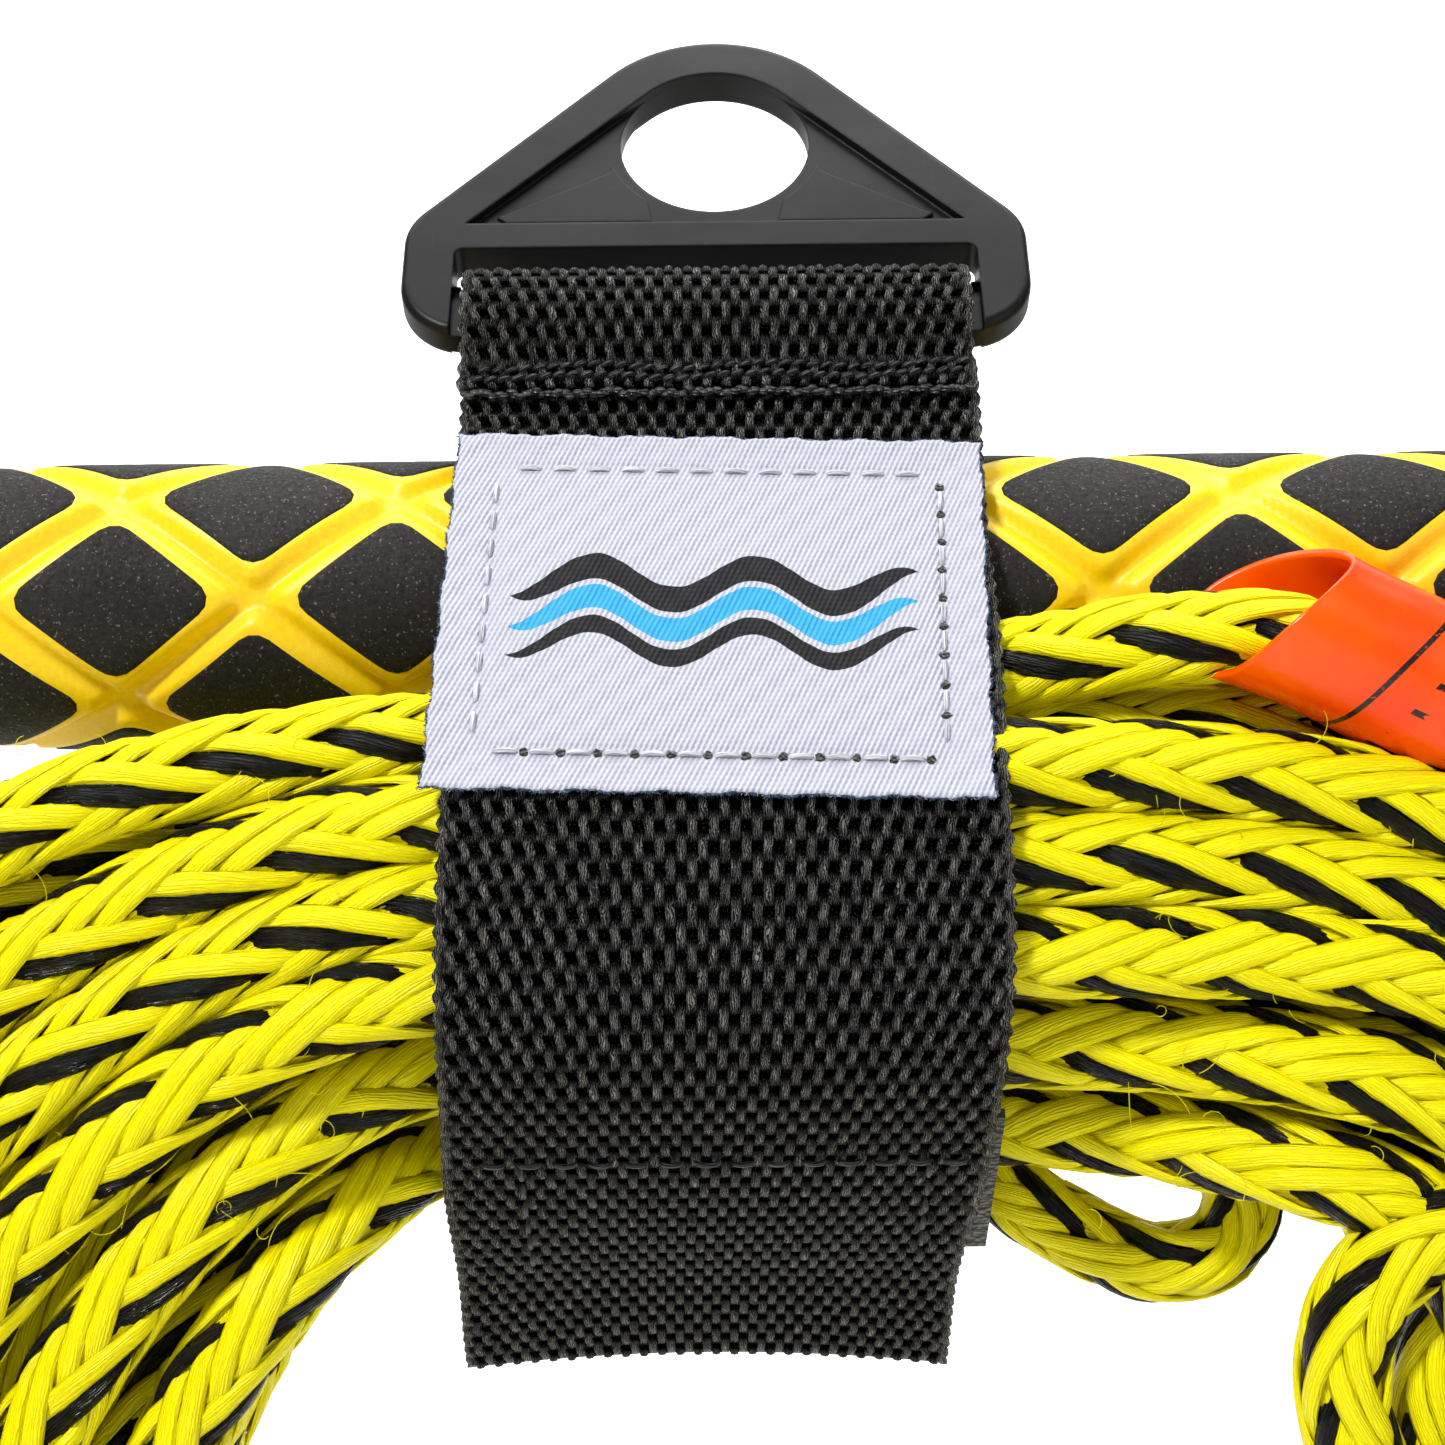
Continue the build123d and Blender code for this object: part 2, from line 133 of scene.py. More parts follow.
def grid_faces(rows, cols, wrap_cols=False, wrap_rows=False, start=0):
    """Quads of a rows by cols grid of points stored row by row."""
    r = np.arange(rows if wrap_rows else rows - 1)
    c = np.arange(cols if wrap_cols else cols - 1)
    rr, cc = np.meshgrid(r, c, indexing="ij")
    rn, cn = (rr + 1) % rows, (cc + 1) % cols
    quads = np.stack([rr * cols + cc, rr * cols + cn, rn * cols + cn, rn * cols + cc], -1)
    return quads.reshape(-1, 4) + start


def resample(path, step):
    """The path's points again at an even step, and the distance of each along it."""
    path = np.asarray(path, float)
    run = np.concatenate([[0], np.cumsum(np.linalg.norm(np.diff(path, axis=0), axis=1))])
    count = max(int(run[-1] / step), 2) + 1
    at = np.linspace(0, run[-1], count)
    return np.stack([np.interp(at, run, path[:, k]) for k in range(path.shape[1])], 1), at


def smooth_curve(points):
    """A Catmull-Rom curve through the points, at a step of 1 mm."""
    p = np.asarray(points, float)
    p = np.vstack([2 * p[:1] - p[1:2], p, 2 * p[-1:] - p[-2:-1]])
    t = np.linspace(0, 1, 40, endpoint=False)[:, None]
    parts = []
    for a, b, c, d in zip(p[:-3], p[1:-2], p[2:-1], p[3:]):
        parts.append(0.5 * (2 * b + (c - a) * t + (2 * a - 5 * b + 4 * c - d) * t ** 2
                            + (3 * b - a - 3 * c + d) * t ** 3))
    parts.append(p[-2][None])
    return resample(np.vstack(parts), 1.0)[0]


def fillet_path(points, radii, step=0.5):
    """A plane polyline with rounded corners, at an even step."""
    p = [np.asarray(q, float) for q in points]
    out = [p[0]]
    for k, radius in enumerate(radii):
        a, b, c = p[k], p[k + 1], p[k + 2]
        u, v = unit(a - b), unit(c - b)
        half = math.acos(np.clip(u @ v, -1, 1)) / 2
        reach = radius / math.tan(half)
        centre = b + unit(u + v) * radius / math.sin(half)
        first, last = b + u * reach - centre, b + v * reach - centre
        turn = math.pi - 2 * half
        for t in np.linspace(0, 1, 9):
            arm = first * math.sin((1 - t) * turn) + last * math.sin(t * turn)
            out.append(centre + arm / math.sin(turn))
    out.append(p[-1])
    return resample(out, step)[0]


def carried_frames(path):
    """Two square directions across a path, carried along it without twist."""
    tangent = unit(np.gradient(path, axis=0))
    side = np.zeros_like(path)
    start = np.cross(tangent[0], [0, 1, 0])
    if np.linalg.norm(start) < 0.1:
        start = np.cross(tangent[0], [0, 0, 1])
    side[0] = unit(start)
    for k in range(1, len(path)):
        s = side[k - 1] - tangent[k] * (side[k - 1] @ tangent[k])
        side[k] = s / np.linalg.norm(s)
    return side, np.cross(tangent, side)


def thread_tube(points, radius, sides=6):
    """A closed thin tube along points: verts and faces."""
    points = np.asarray(points, float)
    side, other = carried_frames(points)
    ring = np.linspace(0, TAU, sides + 1)[:-1]
    taper = np.ones(len(points))
    taper[0] = taper[-1] = 0.45
    tube = points[:, None] + (radius * taper)[:, None, None] * (
        np.cos(ring)[None, :, None] * side[:, None] + np.sin(ring)[None, :, None] * other[:, None])
    faces = grid_faces(len(points), sides, wrap_cols=True).tolist()
    last = (len(points) - 1) * sides
    faces.append(list(range(sides))[::-1])
    faces.append([last + k for k in range(sides)])
    return tube.reshape(-1, 3), faces


def thread_group(name, curves, radius, mat, body, sides=6):
    """Many short threads as one piece."""
    verts, faces, uvs = [], [], []
    start = 0
    for curve in curves:
        v, f = thread_tube(curve, radius, sides)
        verts.append(v)
        faces.extend([[k + start for k in face] for face in f])
        run = np.repeat(np.linspace(0, 2, len(curve)), sides)
        uvs.append(np.stack([run + start, np.tile(np.linspace(0, 1, sides), len(curve))], 1))
        start += len(v)
    return make_piece(name, np.vstack(verts), faces, [mat], body, np.vstack(uvs))


# ---- Materials --------------------------------------------------------------

class Nodes:
    """Short names for building one node tree."""

    def __init__(self, name, blocks=bpy.data.materials, shader="Principled BSDF"):
        self.block = blocks.new(name)
        self.block.use_nodes = True
        self.tree = self.block.node_tree
        self.shader = self.tree.nodes[shader]

    def feed(self, socket, value):
        """Links a socket to another node's output, or gives it a plain value."""
        if isinstance(value, bpy.types.NodeSocket):
            self.tree.links.new(value, socket)
        elif socket.type == "RGBA":
            socket.default_value = (*value, 1)
        else:
            socket.default_value = value

    def add(self, kind, **values):
        node = self.tree.nodes.new(kind)
        for key, value in values.items():
            if key in node.inputs:
                self.feed(node.inputs[key], value)
            else:
                setattr(node, key, value)
        return node

    def set(self, **values):
        for key, value in values.items():
            self.feed(self.shader.inputs[key.replace("_", " ")], value)

    def coords(self, kind="Object", scale=(1, 1, 1)):
        source = self.add("ShaderNodeTexCoord").outputs[kind]
        return self.add("ShaderNodeMapping", Vector=source, Scale=scale).outputs["Vector"]

    def uv(self):
        return self.add("ShaderNodeSeparateXYZ", Vector=self.coords("UV")).outputs[:2]

    def noise(self, vector, scale=5.0, detail=3.0, rough=0.5):
        return self.add("ShaderNodeTexNoise", Vector=vector, Scale=scale, Detail=detail,
                        Roughness=rough).outputs["Fac"]

    def ramp(self, fac, *stops):
        node = self.add("ShaderNodeValToRGB", Fac=fac)
        elements = node.color_ramp.elements
        while len(elements) < len(stops):
            elements.new(0.5)
        for element, (at, colour) in zip(elements, stops):
            element.position = at
            element.color = (*(colour if isinstance(colour, tuple) else (colour,) * 3), 1)
        return node.outputs["Color"]

    def math(self, operation, a, b=0.5, clamp=False):
        node = self.add("ShaderNodeMath", operation=operation, use_clamp=clamp)
        self.feed(node.inputs[0], a)
        self.feed(node.inputs[1], b)
        return node.outputs[0]

    def times(self, a, b):
        return self.math("MULTIPLY", a, b)

    def plus(self, a, b):
        return self.math("ADD", a, b)

    def minus(self, a, b):
        return self.math("SUBTRACT", a, b)

    def below(self, a, b):
        return self.math("LESS_THAN", a, b)

    def apart(self, a, b):
        return self.math("ABSOLUTE", self.minus(a, b))

    def weigh(self, a, share_a, b, share_b):
        return self.plus(self.times(a, share_a), self.times(b, share_b))

    def positive(self, wave):
        """A wave from -1 to 1 brought to 0 to 1."""
        return self.plus(self.times(wave, 0.5), 0.5)

    def mix(self, fac, a, b):
        node = self.add("ShaderNodeMix", data_type="RGBA")
        for key, value in ((0, fac), (6, a), (7, b)):
            self.feed(node.inputs[key], value)
        return node.outputs[2]

    def bump(self, height, strength, distance, **normal):
        node = self.add("ShaderNodeBump", Height=height, Strength=strength, Distance=distance,
                        **normal)
        self.set(Normal=node.outputs["Normal"])

    def colour(self, output):
        self.set(Base_Color=output)

    def rough(self, fac, low_end, high_end):
        """Roughness between two values, by a pattern that runs from about 0.3 to 0.7."""
        self.set(Roughness=self.ramp(fac, (0.3, low_end), (0.7, high_end)))


def fibre_material(name, dark, light, roughness, glow=0.0, specular=0.45, relief=1.0):
    """Bundled filaments that run along U, about four to the millimetre. UV is in millimetres."""
    n = Nodes(name)
    wander = n.noise(n.coords("UV", (0.10, 0.55, 1)), 1.6, 3, 0.6)
    filament = n.positive(n.math("SINE", n.weigh(n.uv()[1], 23.0, wander, 26.0)))
    fine = n.noise(n.coords("UV", (0.12, 3.4, 1)), 2.0, 4, 0.6)
    broad = n.noise(n.coords("Object", (60, 60, 60)), 1.0, 2)
    height = n.weigh(filament, 0.55, fine, 0.6)
    n.colour(n.ramp(n.weigh(height, 0.75, broad, 0.25), (0.26, dark), (0.66, light)))
    n.rough(fine, roughness + 0.12, max(roughness - 0.1, 0.05))
    n.bump(height, relief, 0.00032)
    n.set(Specular_IOR_Level=specular)
    if glow:
        n.set(Subsurface_Weight=glow, Subsurface_Scale=0.0012, Subsurface_Radius=(1.0, 0.75, 0.15))
    return n.block


def foam_material(name, dark, light, grain, sparkle):
    """Closed-cell foam with a fine skin grain; with sparkle, pale flecks are painted in as glints.
    """
    n = Nodes(name)
    where = n.coords()
    cells = n.noise(where, grain, 3, 0.65)
    base = n.ramp(n.weigh(cells, 0.55, n.noise(where, 55), 0.45), (0.38, dark), (0.62, light))
    if sparkle:
        # Painted glints: pale flecks mixed into the dark foam's colour.
        painted_sparkle = n.ramp(n.noise(where, grain * 1.35, 1), (0.66, 0.0), (0.74, 1.0))
        base = n.mix(painted_sparkle, base, (0.13, 0.125, 0.115))
        n.set(Specular_IOR_Level=0.22)
    n.colour(base)
    n.rough(cells, 0.78 if sparkle else 0.5, 0.52 if sparkle else 0.36)
    n.bump(cells, 0.55 if sparkle else 0.16, 0.00018)
    if not sparkle:
        n.set(Subsurface_Weight=0.15, Subsurface_Scale=0.002, Subsurface_Radius=(1.0, 0.6, 0.1))
    return n.block


def plastic_material(name, dark, light, roughness):
    """Moulded plastic: faint flow, fine grain, small scratches, softened edges."""
    n = Nodes(name)
    flow = n.noise(n.coords("Object", (1, 3, 1)), 40, 4, 0.6)
    fine = n.noise(n.coords(), 900.0, 2)
    lines = n.noise(n.coords("Object", (2400, 160, 160)), 1.0, 2, 0.4)
    marks = n.times(n.ramp(lines, (0.74, 0.0), (0.80, 1.0)), 0.2)
    scratched = tuple(4 * c + 0.03 for c in light)
    n.colour(n.mix(marks, n.ramp(flow, (0.35, dark), (0.65, light)), scratched))
    n.rough(flow, roughness + 0.09, roughness - 0.06)
    edge = n.add("ShaderNodeBevel", samples=6, Radius=0.0004)
    n.bump(fine, 0.14, 0.0001, Normal=edge.outputs["Normal"])
    n.set(Specular_IOR_Level=0.16)
    return n.block


def webbing_material(name):
    """Black polypropylene yarn: filaments along V, painted highlights where they crown, painted
    shade in the hollows, painted glints.
    """
    n = Nodes(name)
    wander = n.noise(n.coords("UV", (0.9, 0.4, 1)), 1.4, 3, 0.6)
    filament = n.positive(n.math("SINE", n.weigh(n.uv()[0], 34.0, wander, 34.0)))
    fine = n.noise(n.coords("UV", (6.5, 0.6, 1)), 1.5, 4, 0.65)
    cells = n.noise(n.coords("UV", (1.1, 0.55, 1)), 1.0, 1)
    height = n.weigh(filament, 0.45, fine, 0.6)
    crown = n.add("ShaderNodeAttribute", attribute_name="crown").outputs["Fac"]
    # Painted highlight: the yarn's colour runs from its own near black up to pale grey on the high
    # tops of the filaments.
    tone = n.times(height, n.plus(cells, 0.5))
    yarn = n.ramp(tone, (0.34, 0.0015), (0.55, (0.019, 0.0185, 0.0168)), (0.72, (0.34, 0.33, 0.31)))
    # Painted shade: where the crown attribute is low, the hollows between the yarns are painted
    # near black.
    base = n.mix(n.math("POWER", crown, 1.3), (0.0003, 0.0003, 0.0004), yarn)
    # Painted glints: small pale flecks mixed into the colour, stronger on the crowns.
    painted_glint = n.ramp(n.noise(n.coords("UV", (3.4, 3.0, 1)), 1.6, 2, 0.6), (0.62, 0.0), (0.68, 1.0))
    shown = n.plus(n.times(crown, 0.4), 0.12)
    n.colour(n.mix(n.times(painted_glint, shown), base, (0.42, 0.42, 0.41)))
    n.rough(fine, 0.34, 0.15)
    n.bump(height, 1.0, 0.00045)
    n.set(Specular_IOR_Level=n.times(crown, 0.45))
    return n.block


def label_material(name):
    """White twill with a woven wave mark. UV is in millimetres from the middle."""
    n = Nodes(name)
    x, y = n.uv()
    warp = n.math("SINE", n.minus(n.times(x, 12.2), n.times(y, 4.6)))
    weft = n.math("SINE", n.times(y, 11.0))
    twill = n.weigh(warp, 0.78, weft, 0.22)
    mark = n.ramp(n.positive(twill), (0.08, (0.36, 0.37, 0.46)), (0.45, (0.555, 0.565, 0.65)))
    # Wave mark: three bands that follow one swell and taper at both ends
    swell = n.times(n.math("SINE", n.times(x, 0.42)), 1.9)
    height = n.minus(y, swell)
    tip = n.math("DIVIDE", n.math("MAXIMUM", n.minus(n.math("ABSOLUTE", x), 13.0), 0.0), 6.0)
    taper = n.minus(1.0, n.math("POWER", tip, 2.0))
    black, blue = (0.009, 0.009, 0.011), (0.035, 0.33, 0.66)
    for middle, half, colour in ((2.7, 1.5, black), (-0.8, 1.35, blue), (-4.0, 1.0, black)):
        near = n.apart(height, middle)
        on_band = n.below(near, n.times(taper, half))
        ribbed = n.mix(n.times(n.plus(warp, 1.0), 0.22), colour,
                       tuple(min(1.0, 1.6 * c + 0.008) for c in colour))
        mark = n.mix(on_band, mark, ribbed)
    n.colour(mark)
    n.bump(twill, 0.6, 0.00016)
    n.set(Roughness=0.62, Sheen_Weight=0.06, Specular_IOR_Level=0.2)
    return n.block


def sleeve_material(name, half_turn):
    """Glossy orange vinyl with a plain printed frame and ruled lines. UV in millimetres."""
    n = Nodes(name)
    u, v = n.uv()
    cloud = n.noise(n.coords(), 90, 4)
    base = n.ramp(cloud, (0.3, (1.0, 0.06, 0.0)), (0.7, (1.0, 0.12, 0.0)))
    across = n.math("ABSOLUTE", v)
    along = n.apart(u, 54.5)
    frame_u = n.below(n.apart(along, 44.0), 0.28)
    frame_v = n.below(n.apart(across, half_turn), 0.28)
    in_u = n.below(along, 44.28)
    in_v = n.below(across, half_turn + 0.28)
    border = n.math("ADD", n.times(frame_u, in_v), n.times(frame_v, in_u), clamp=True)
    rule = n.math("PINGPONG", n.plus(v, 0.75), 1.5)
    ruled = n.below(rule, 0.32)
    dashes = n.math("GREATER_THAN", n.noise(n.coords("UV", (0.24, 0.67, 1)), 1.0, 0), 0.43)
    inner_u = n.below(along, 40.5)
    inner_v = n.below(across, half_turn - 1.6)
    lines = n.times(n.times(ruled, dashes), n.times(inner_u, inner_v))
    ink = n.math("ADD", border, lines, clamp=True)
    worn = n.ramp(n.noise(n.coords("UV"), 2.5), (0.30, 0.35), (0.42, 1.0))
    n.colour(n.mix(n.times(ink, worn), base, (0.02, 0.012, 0.01)))
    n.rough(cloud, 0.30, 0.19)
    n.bump(n.noise(n.coords(), 260), 0.18, 0.0003)
    n.set(Subsurface_Weight=0.22, Subsurface_Scale=0.003, Subsurface_Radius=(1.0, 0.25, 0.05),
          Specular_IOR_Level=0.32)
    return n.block


def metal_material(name):
    """Drawn aluminium tube with lines along it."""
    n = Nodes(name)
    brushed = n.noise(n.coords("Object", (8, 900, 900)), 1.0)
    n.colour(n.ramp(brushed, (0.3, (0.55, 0.56, 0.58)), (0.7, (0.78, 0.79, 0.80))))
    n.rough(brushed, 0.42, 0.24)
    n.bump(brushed, 0.12, 0.0001)
    n.set(Metallic=1.0)
    return n.block


def fuzz_material(name, tone, pitch):
    """Hook or loop tape: rows of small hooks or tangled loops."""
    n = Nodes(name)
    where = n.coords()
    cells = n.add("ShaderNodeTexVoronoi", Vector=where, Scale=pitch).outputs["Distance"]
    n.colour(n.ramp(cells, (0.1, tone * 3), (0.5, tone)))
    n.rough(n.noise(where, pitch), 0.85, 0.5)
    n.bump(cells, 0.9, 0.0005)
    n.set(Sheen_Weight=0.4)
    return n.block


ROPE_YELLOW = fibre_material("rope_yellow", (0.80, 0.68, 0.0), (1.0, 0.90, 0.0), 0.32,
                             glow=0.12, specular=0.2, relief=0.6)
ROPE_BLACK = fibre_material("rope_black", (0.0001, 0.0001, 0.0001), (0.006, 0.006, 0.007), 0.17,
                            specular=0.2)
THREAD_WHITE = fibre_material("thread_white", (0.60, 0.61, 0.68), (0.78, 0.79, 0.86), 0.5)
THREAD_BLACK = fibre_material("thread_black", (0.002, 0.002, 0.002), (0.04, 0.04, 0.043), 0.3)
THREAD_NAVY = fibre_material("thread_navy", (0.004, 0.012, 0.04), (0.10, 0.24, 0.50), 0.6)
WEBBING = webbing_material("webbing_black")
LABEL = label_material("label_cloth")
GRIP_YELLOW = foam_material("grip_yellow", (0.94, 0.60, 0.0), (1.0, 0.72, 0.0), 1600.0, False)
GRIP_BLACK = foam_material("grip_black", (0.0065, 0.0062, 0.0055), (0.020, 0.019, 0.0165), 2300.0,
                           True)
HANGER_PLASTIC = plastic_material("hanger_plastic", (0.0035, 0.0035, 0.0036),
                                  (0.008, 0.008, 0.0082), 0.35)
CAP_PLASTIC = plastic_material("cap_plastic", (0.010, 0.010, 0.010), (0.022, 0.022, 0.022), 0.5)
TUBE_ALLOY = metal_material("tube_alloy")
SLEEVE_ORANGE = sleeve_material("sleeve_orange", 15.0)
HOOK_TAPE = fuzz_material("hook_tape", 0.010, 1400.0)
LOOP_TAPE = fuzz_material("loop_tape", 0.014, 2600.0)
NEEDLE_HOLE = fuzz_material("needle_hole", 0.002, 3000.0)


# ---- Braided rope -----------------------------------------------------------

LAY = 74.0             # length in which a carrier goes once round
CARRIERS = 6           # in each direction
BRAID_R = 3.62
BRAID_WAVE = 0.44
TAPE_HALF = 1.02
TAPE_T = 0.46
TAPE_SECTION = [(-1.0, 0.0), (-0.55, 0.8), (0.0, 1.0), (0.55, 0.8), (1.0, 0.0), (0.0, -0.7)]


def sample_rope(path, fine, coarse, near=None):
    """The path at a fine step where near() holds and a coarse step elsewhere."""
    dense, at = resample(path, 0.25)
    step = np.full(len(dense), coarse)
    if near is not None:
        step = np.where(near(dense), fine, coarse)
        kernel = np.ones(41) / 41
        step = np.convolve(np.pad(step, 20, mode="edge"), kernel, mode="valid")
    count = np.concatenate([[0], np.cumsum(np.diff(at) / step[:-1])])
    pick = np.linspace(0, count[-1], int(count[-1]) + 1)
    where = np.interp(pick, count, at)
    return np.stack([np.interp(where, at, dense[:, k]) for k in range(3)], 1), where


def braid(path, along, twist, size=1.0):
    """Tapes of a two-over-two hollow braid round the path."""
    side, other = carried_frames(path)
    verts, faces, uvs, index = [], [], [], []
    start = 0
    for direction in (1, -1):
        for carrier in range(CARRIERS):
            for half in (-1, 1):
                middle = (carrier + 0.25 * half) * TAU / CARRIERS
                angle = middle + direction * (TAU * along / LAY) + twist
                lift = direction * np.cos((angle - twist) * 3 - math.pi / 4 * (1 + 0.5 * half))
                # Black tapes lie a little deeper, so their floats are shorter
                black = direction == 1 and half == 1
                lift = np.clip(2.4 * lift - (1.4 if black else 0.0), -1, 1)
                radius = size * (BRAID_R + BRAID_WAVE * lift)
                out = np.cos(angle)[:, None] * side + np.sin(angle)[:, None] * other
                centre = path + radius[:, None] * out
                run = unit(np.gradient(centre, axis=0))
                across = unit(np.cross(run, out))
                up = np.cross(across, run)
                width = size * TAPE_HALF * (1.0 + 0.10 * np.abs(lift))
                phase = rng.uniform(0, 6.28)
                tilt = 0.10 * np.sin(along * 0.21 + phase)
                rings = []
                for a, h in TAPE_SECTION:
                    push = (width * a)[:, None] * across
                    rise = (TAPE_T * size * h + tilt * a)[:, None] * up
                    rings.append(centre + push + rise)
                ring = np.stack(rings, 1)
                rows, cols = ring.shape[:2]
                verts.append(ring.reshape(-1, 3))
                faces.append(grid_faces(rows, cols, wrap_cols=True, start=start))
                tape_uv = np.zeros((rows, cols, 2))
                tape_uv[..., 0] = along[:, None] + 37.0 * carrier + 11.0 * half
                tape_uv[..., 1] = np.array([a for a, _ in TAPE_SECTION]) * TAPE_HALF + 7.3 * carrier
                uvs.append(tape_uv.reshape(-1, 2))
                index.append(np.full(len(faces[-1]), 1 if black else 0))
                start += rows * cols
    return np.vstack(verts), np.vstack(faces), np.vstack(uvs), np.concatenate(index)


def strand_part(strand, samples, first, last):
    """The part of a braided strand between two of its samples."""
    verts, faces, uvs, index = strand
    row = np.arange(len(verts)) // len(TAPE_SECTION) % samples
    inside = (row >= first) & (row <= last)
    whole = inside[faces].all(1)
    renumber = np.cumsum(inside) - 1
    return verts[inside], renumber[faces[whole]], uvs[inside], index[whole]


def rope_piece(name, strands, body="bundle"):
    """One piece from several braided strands."""
    verts, faces, uvs, index = zip(*strands)
    starts = np.cumsum([0] + [len(v) for v in verts[:-1]])
    faces = np.vstack([f + start for f, start in zip(faces, starts)])
    return make_piece(name, np.vstack(verts), faces, [ROPE_YELLOW, ROPE_BLACK], body,
                      np.vstack(uvs), np.concatenate(index))


# Hank: turns of rope that pinch together under the strap and fan out beside it
STRAIGHT_HALF = 25.0
TOP_Z = -33.2
SHOULDER_Z = -98.0
SIDE_LEFT = 84.0
SIDE_RIGHT = 92.0
FOOT_Z = -193.0
HANK_DEPTHS = (-27.0, 9.5)
ROW_RIGHT = [-16.6, -24.9, -33.3, -42.6, -51.9]
ROW_LEFT = [-21.0, -28.6, -36.0, -44.2, -53.0]
BEND_RIGHT = [2.9, 3.0, 3.4, 3.4, 3.4]
BEND_LEFT = 1.75
DEPTH_AT_STRAP = [[-25.4, -14.8, -8.9, -0.4, 8.1], [-25.9, -17.4, -8.9, -0.4, 8.1],
                  [-25.9, -17.4, -8.9, -0.4, 8.1], [-17.3, -8.9, -0.4, 8.1], [-6.5, 1.8, 8.8]]
DEPTH_BESIDE = [[-25.6, -18.5, -9.0, 0.2, 8.1], [-25.6, -19.5, -9.5, -1.0, 8.1],
                [-25.9, -19.8, -10.0, -1.5, 8.1], [-24.5, -18.5, -6.0, 6.8], [-22.5, -14.5, 2.0]]


def hank_line(bend_right):
    """The hank's middle line: (x, z) and its outward direction, from the top, clockwise."""
    bend = np.linspace(0, math.pi / 2, 60)
    drop = TOP_Z - SHOULDER_Z

    def shoulder(sign, side, power):
        x = STRAIGHT_HALF + (side - STRAIGHT_HALF) * np.sin(bend) ** (2 / power)
        return np.stack([sign * x, SHOULDER_Z + drop * np.cos(bend) ** (2 / power)], 1)

    right = shoulder(1, SIDE_RIGHT, bend_right)
    left = shoulder(-1, SIDE_LEFT, BEND_LEFT)[::-1]
    foot = np.linspace(0, math.pi, 90)
    half = (SIDE_RIGHT + SIDE_LEFT) / 2
    bottom = np.stack([SIDE_RIGHT - half + half * np.cos(foot),
                       FOOT_Z - SIDE_LEFT * np.sin(foot)], 1)
    line = np.vstack([[[0, TOP_Z]], right, bottom, left, [[0, TOP_Z]]])
    line = resample(line, 1.0)[0]
    run = unit(np.gradient(line, axis=0))
    for _ in range(40):
        run[1:-1] = unit(run[:-2] + run[1:-1] + run[2:])
    return line, np.stack([-run[:, 1], run[:, 0]], 1)


def near_front(p):
    """Where the camera sees the rope from close by."""
    return (np.abs(p[:, 0]) < 78) & (p[:, 2] > -112) & (p[:, 1] < -4)


def hank_turn(row, column, seed):
    """The path of one turn, from its place under the strap all the way round."""
    local = np.random.default_rng(seed)
    line, out = hank_line(BEND_RIGHT[row])
    t = np.linspace(0, 1, len(line))
    x = line[:, 0]
    top = line[:, 1] > SHOULDER_Z
    share = np.clip((x + STRAP_HALF) / (2 * STRAP_HALF), 0, 1)
    share = np.where(top, share, smoothstep(-60, 60, x))
    level = ROW_LEFT[row] + (ROW_RIGHT[row] - ROW_LEFT[row]) * share - TOP_Z
    if (row, column) == (0, 1):
        level = level + 2.4
    away = smoothstep(24, 100, np.abs(x) + np.maximum(SHOULDER_Z - line[:, 1], 0) * 2)
    beside = np.where(top, smoothstep(27, 62, np.abs(x)), 1.0)
    leftward = smoothstep(30, -30, x) * smoothstep(-150, -90, line[:, 1])
    fan = 0.08 + 0.37 * leftward

    def wander(*cycles):
        return sum(local.uniform(-1, 1) * np.sin(TAU * (k * t + local.uniform())) / k
                   for k in cycles)

    wave, drift = wander(1, 2, 3, 5), wander(1, 2, 4)
    stagger = 4.1 * (1 + fan) * (column % 2)
    reach = level * (1 + fan * away) + (1.9 * wave + stagger) * away
    depth = DEPTH_AT_STRAP[row][column] * (1 - beside) + DEPTH_BESIDE[row][column] * beside
    depth = np.clip(depth + 1.7 * drift * away, *HANK_DEPTHS)
    path = np.stack([x + out[:, 0] * reach, depth, line[:, 1] + out[:, 1] * reach], 1)
    path[-1] = path[0]
    return path


def build_hank():
    """Turns at the coil's skin are fine where the camera is near; the rest are coarse."""
    seen, inner = [], []
    for row, depths in enumerate(DEPTH_AT_STRAP):
        for column in range(len(depths)):
            outer = column in (0, 1, len(depths) - 1) or row in (0, 4)
            path = hank_turn(row, column, 100 + 10 * row + column)
            fine, coarse = (1.25, 3.3) if outer else (4.0, 4.0)
            points, along = sample_rope(path, fine, coarse, near_front)
            along = along * (round(along[-1] / LAY) * LAY / along[-1])
            (seen if outer else inner).append(braid(points, along, rng.uniform(0, 6.28)))
    for k in range(0, len(seen), 2):
        rope_piece(f"tow_rope_turns_{k // 2 + 1:02d}", seen[k:k + 2])
    for k in range(0, len(inner), 3):
        rope_piece(f"tow_rope_inner_turns_{k // 3 + 1}", inner[k:k + 3])


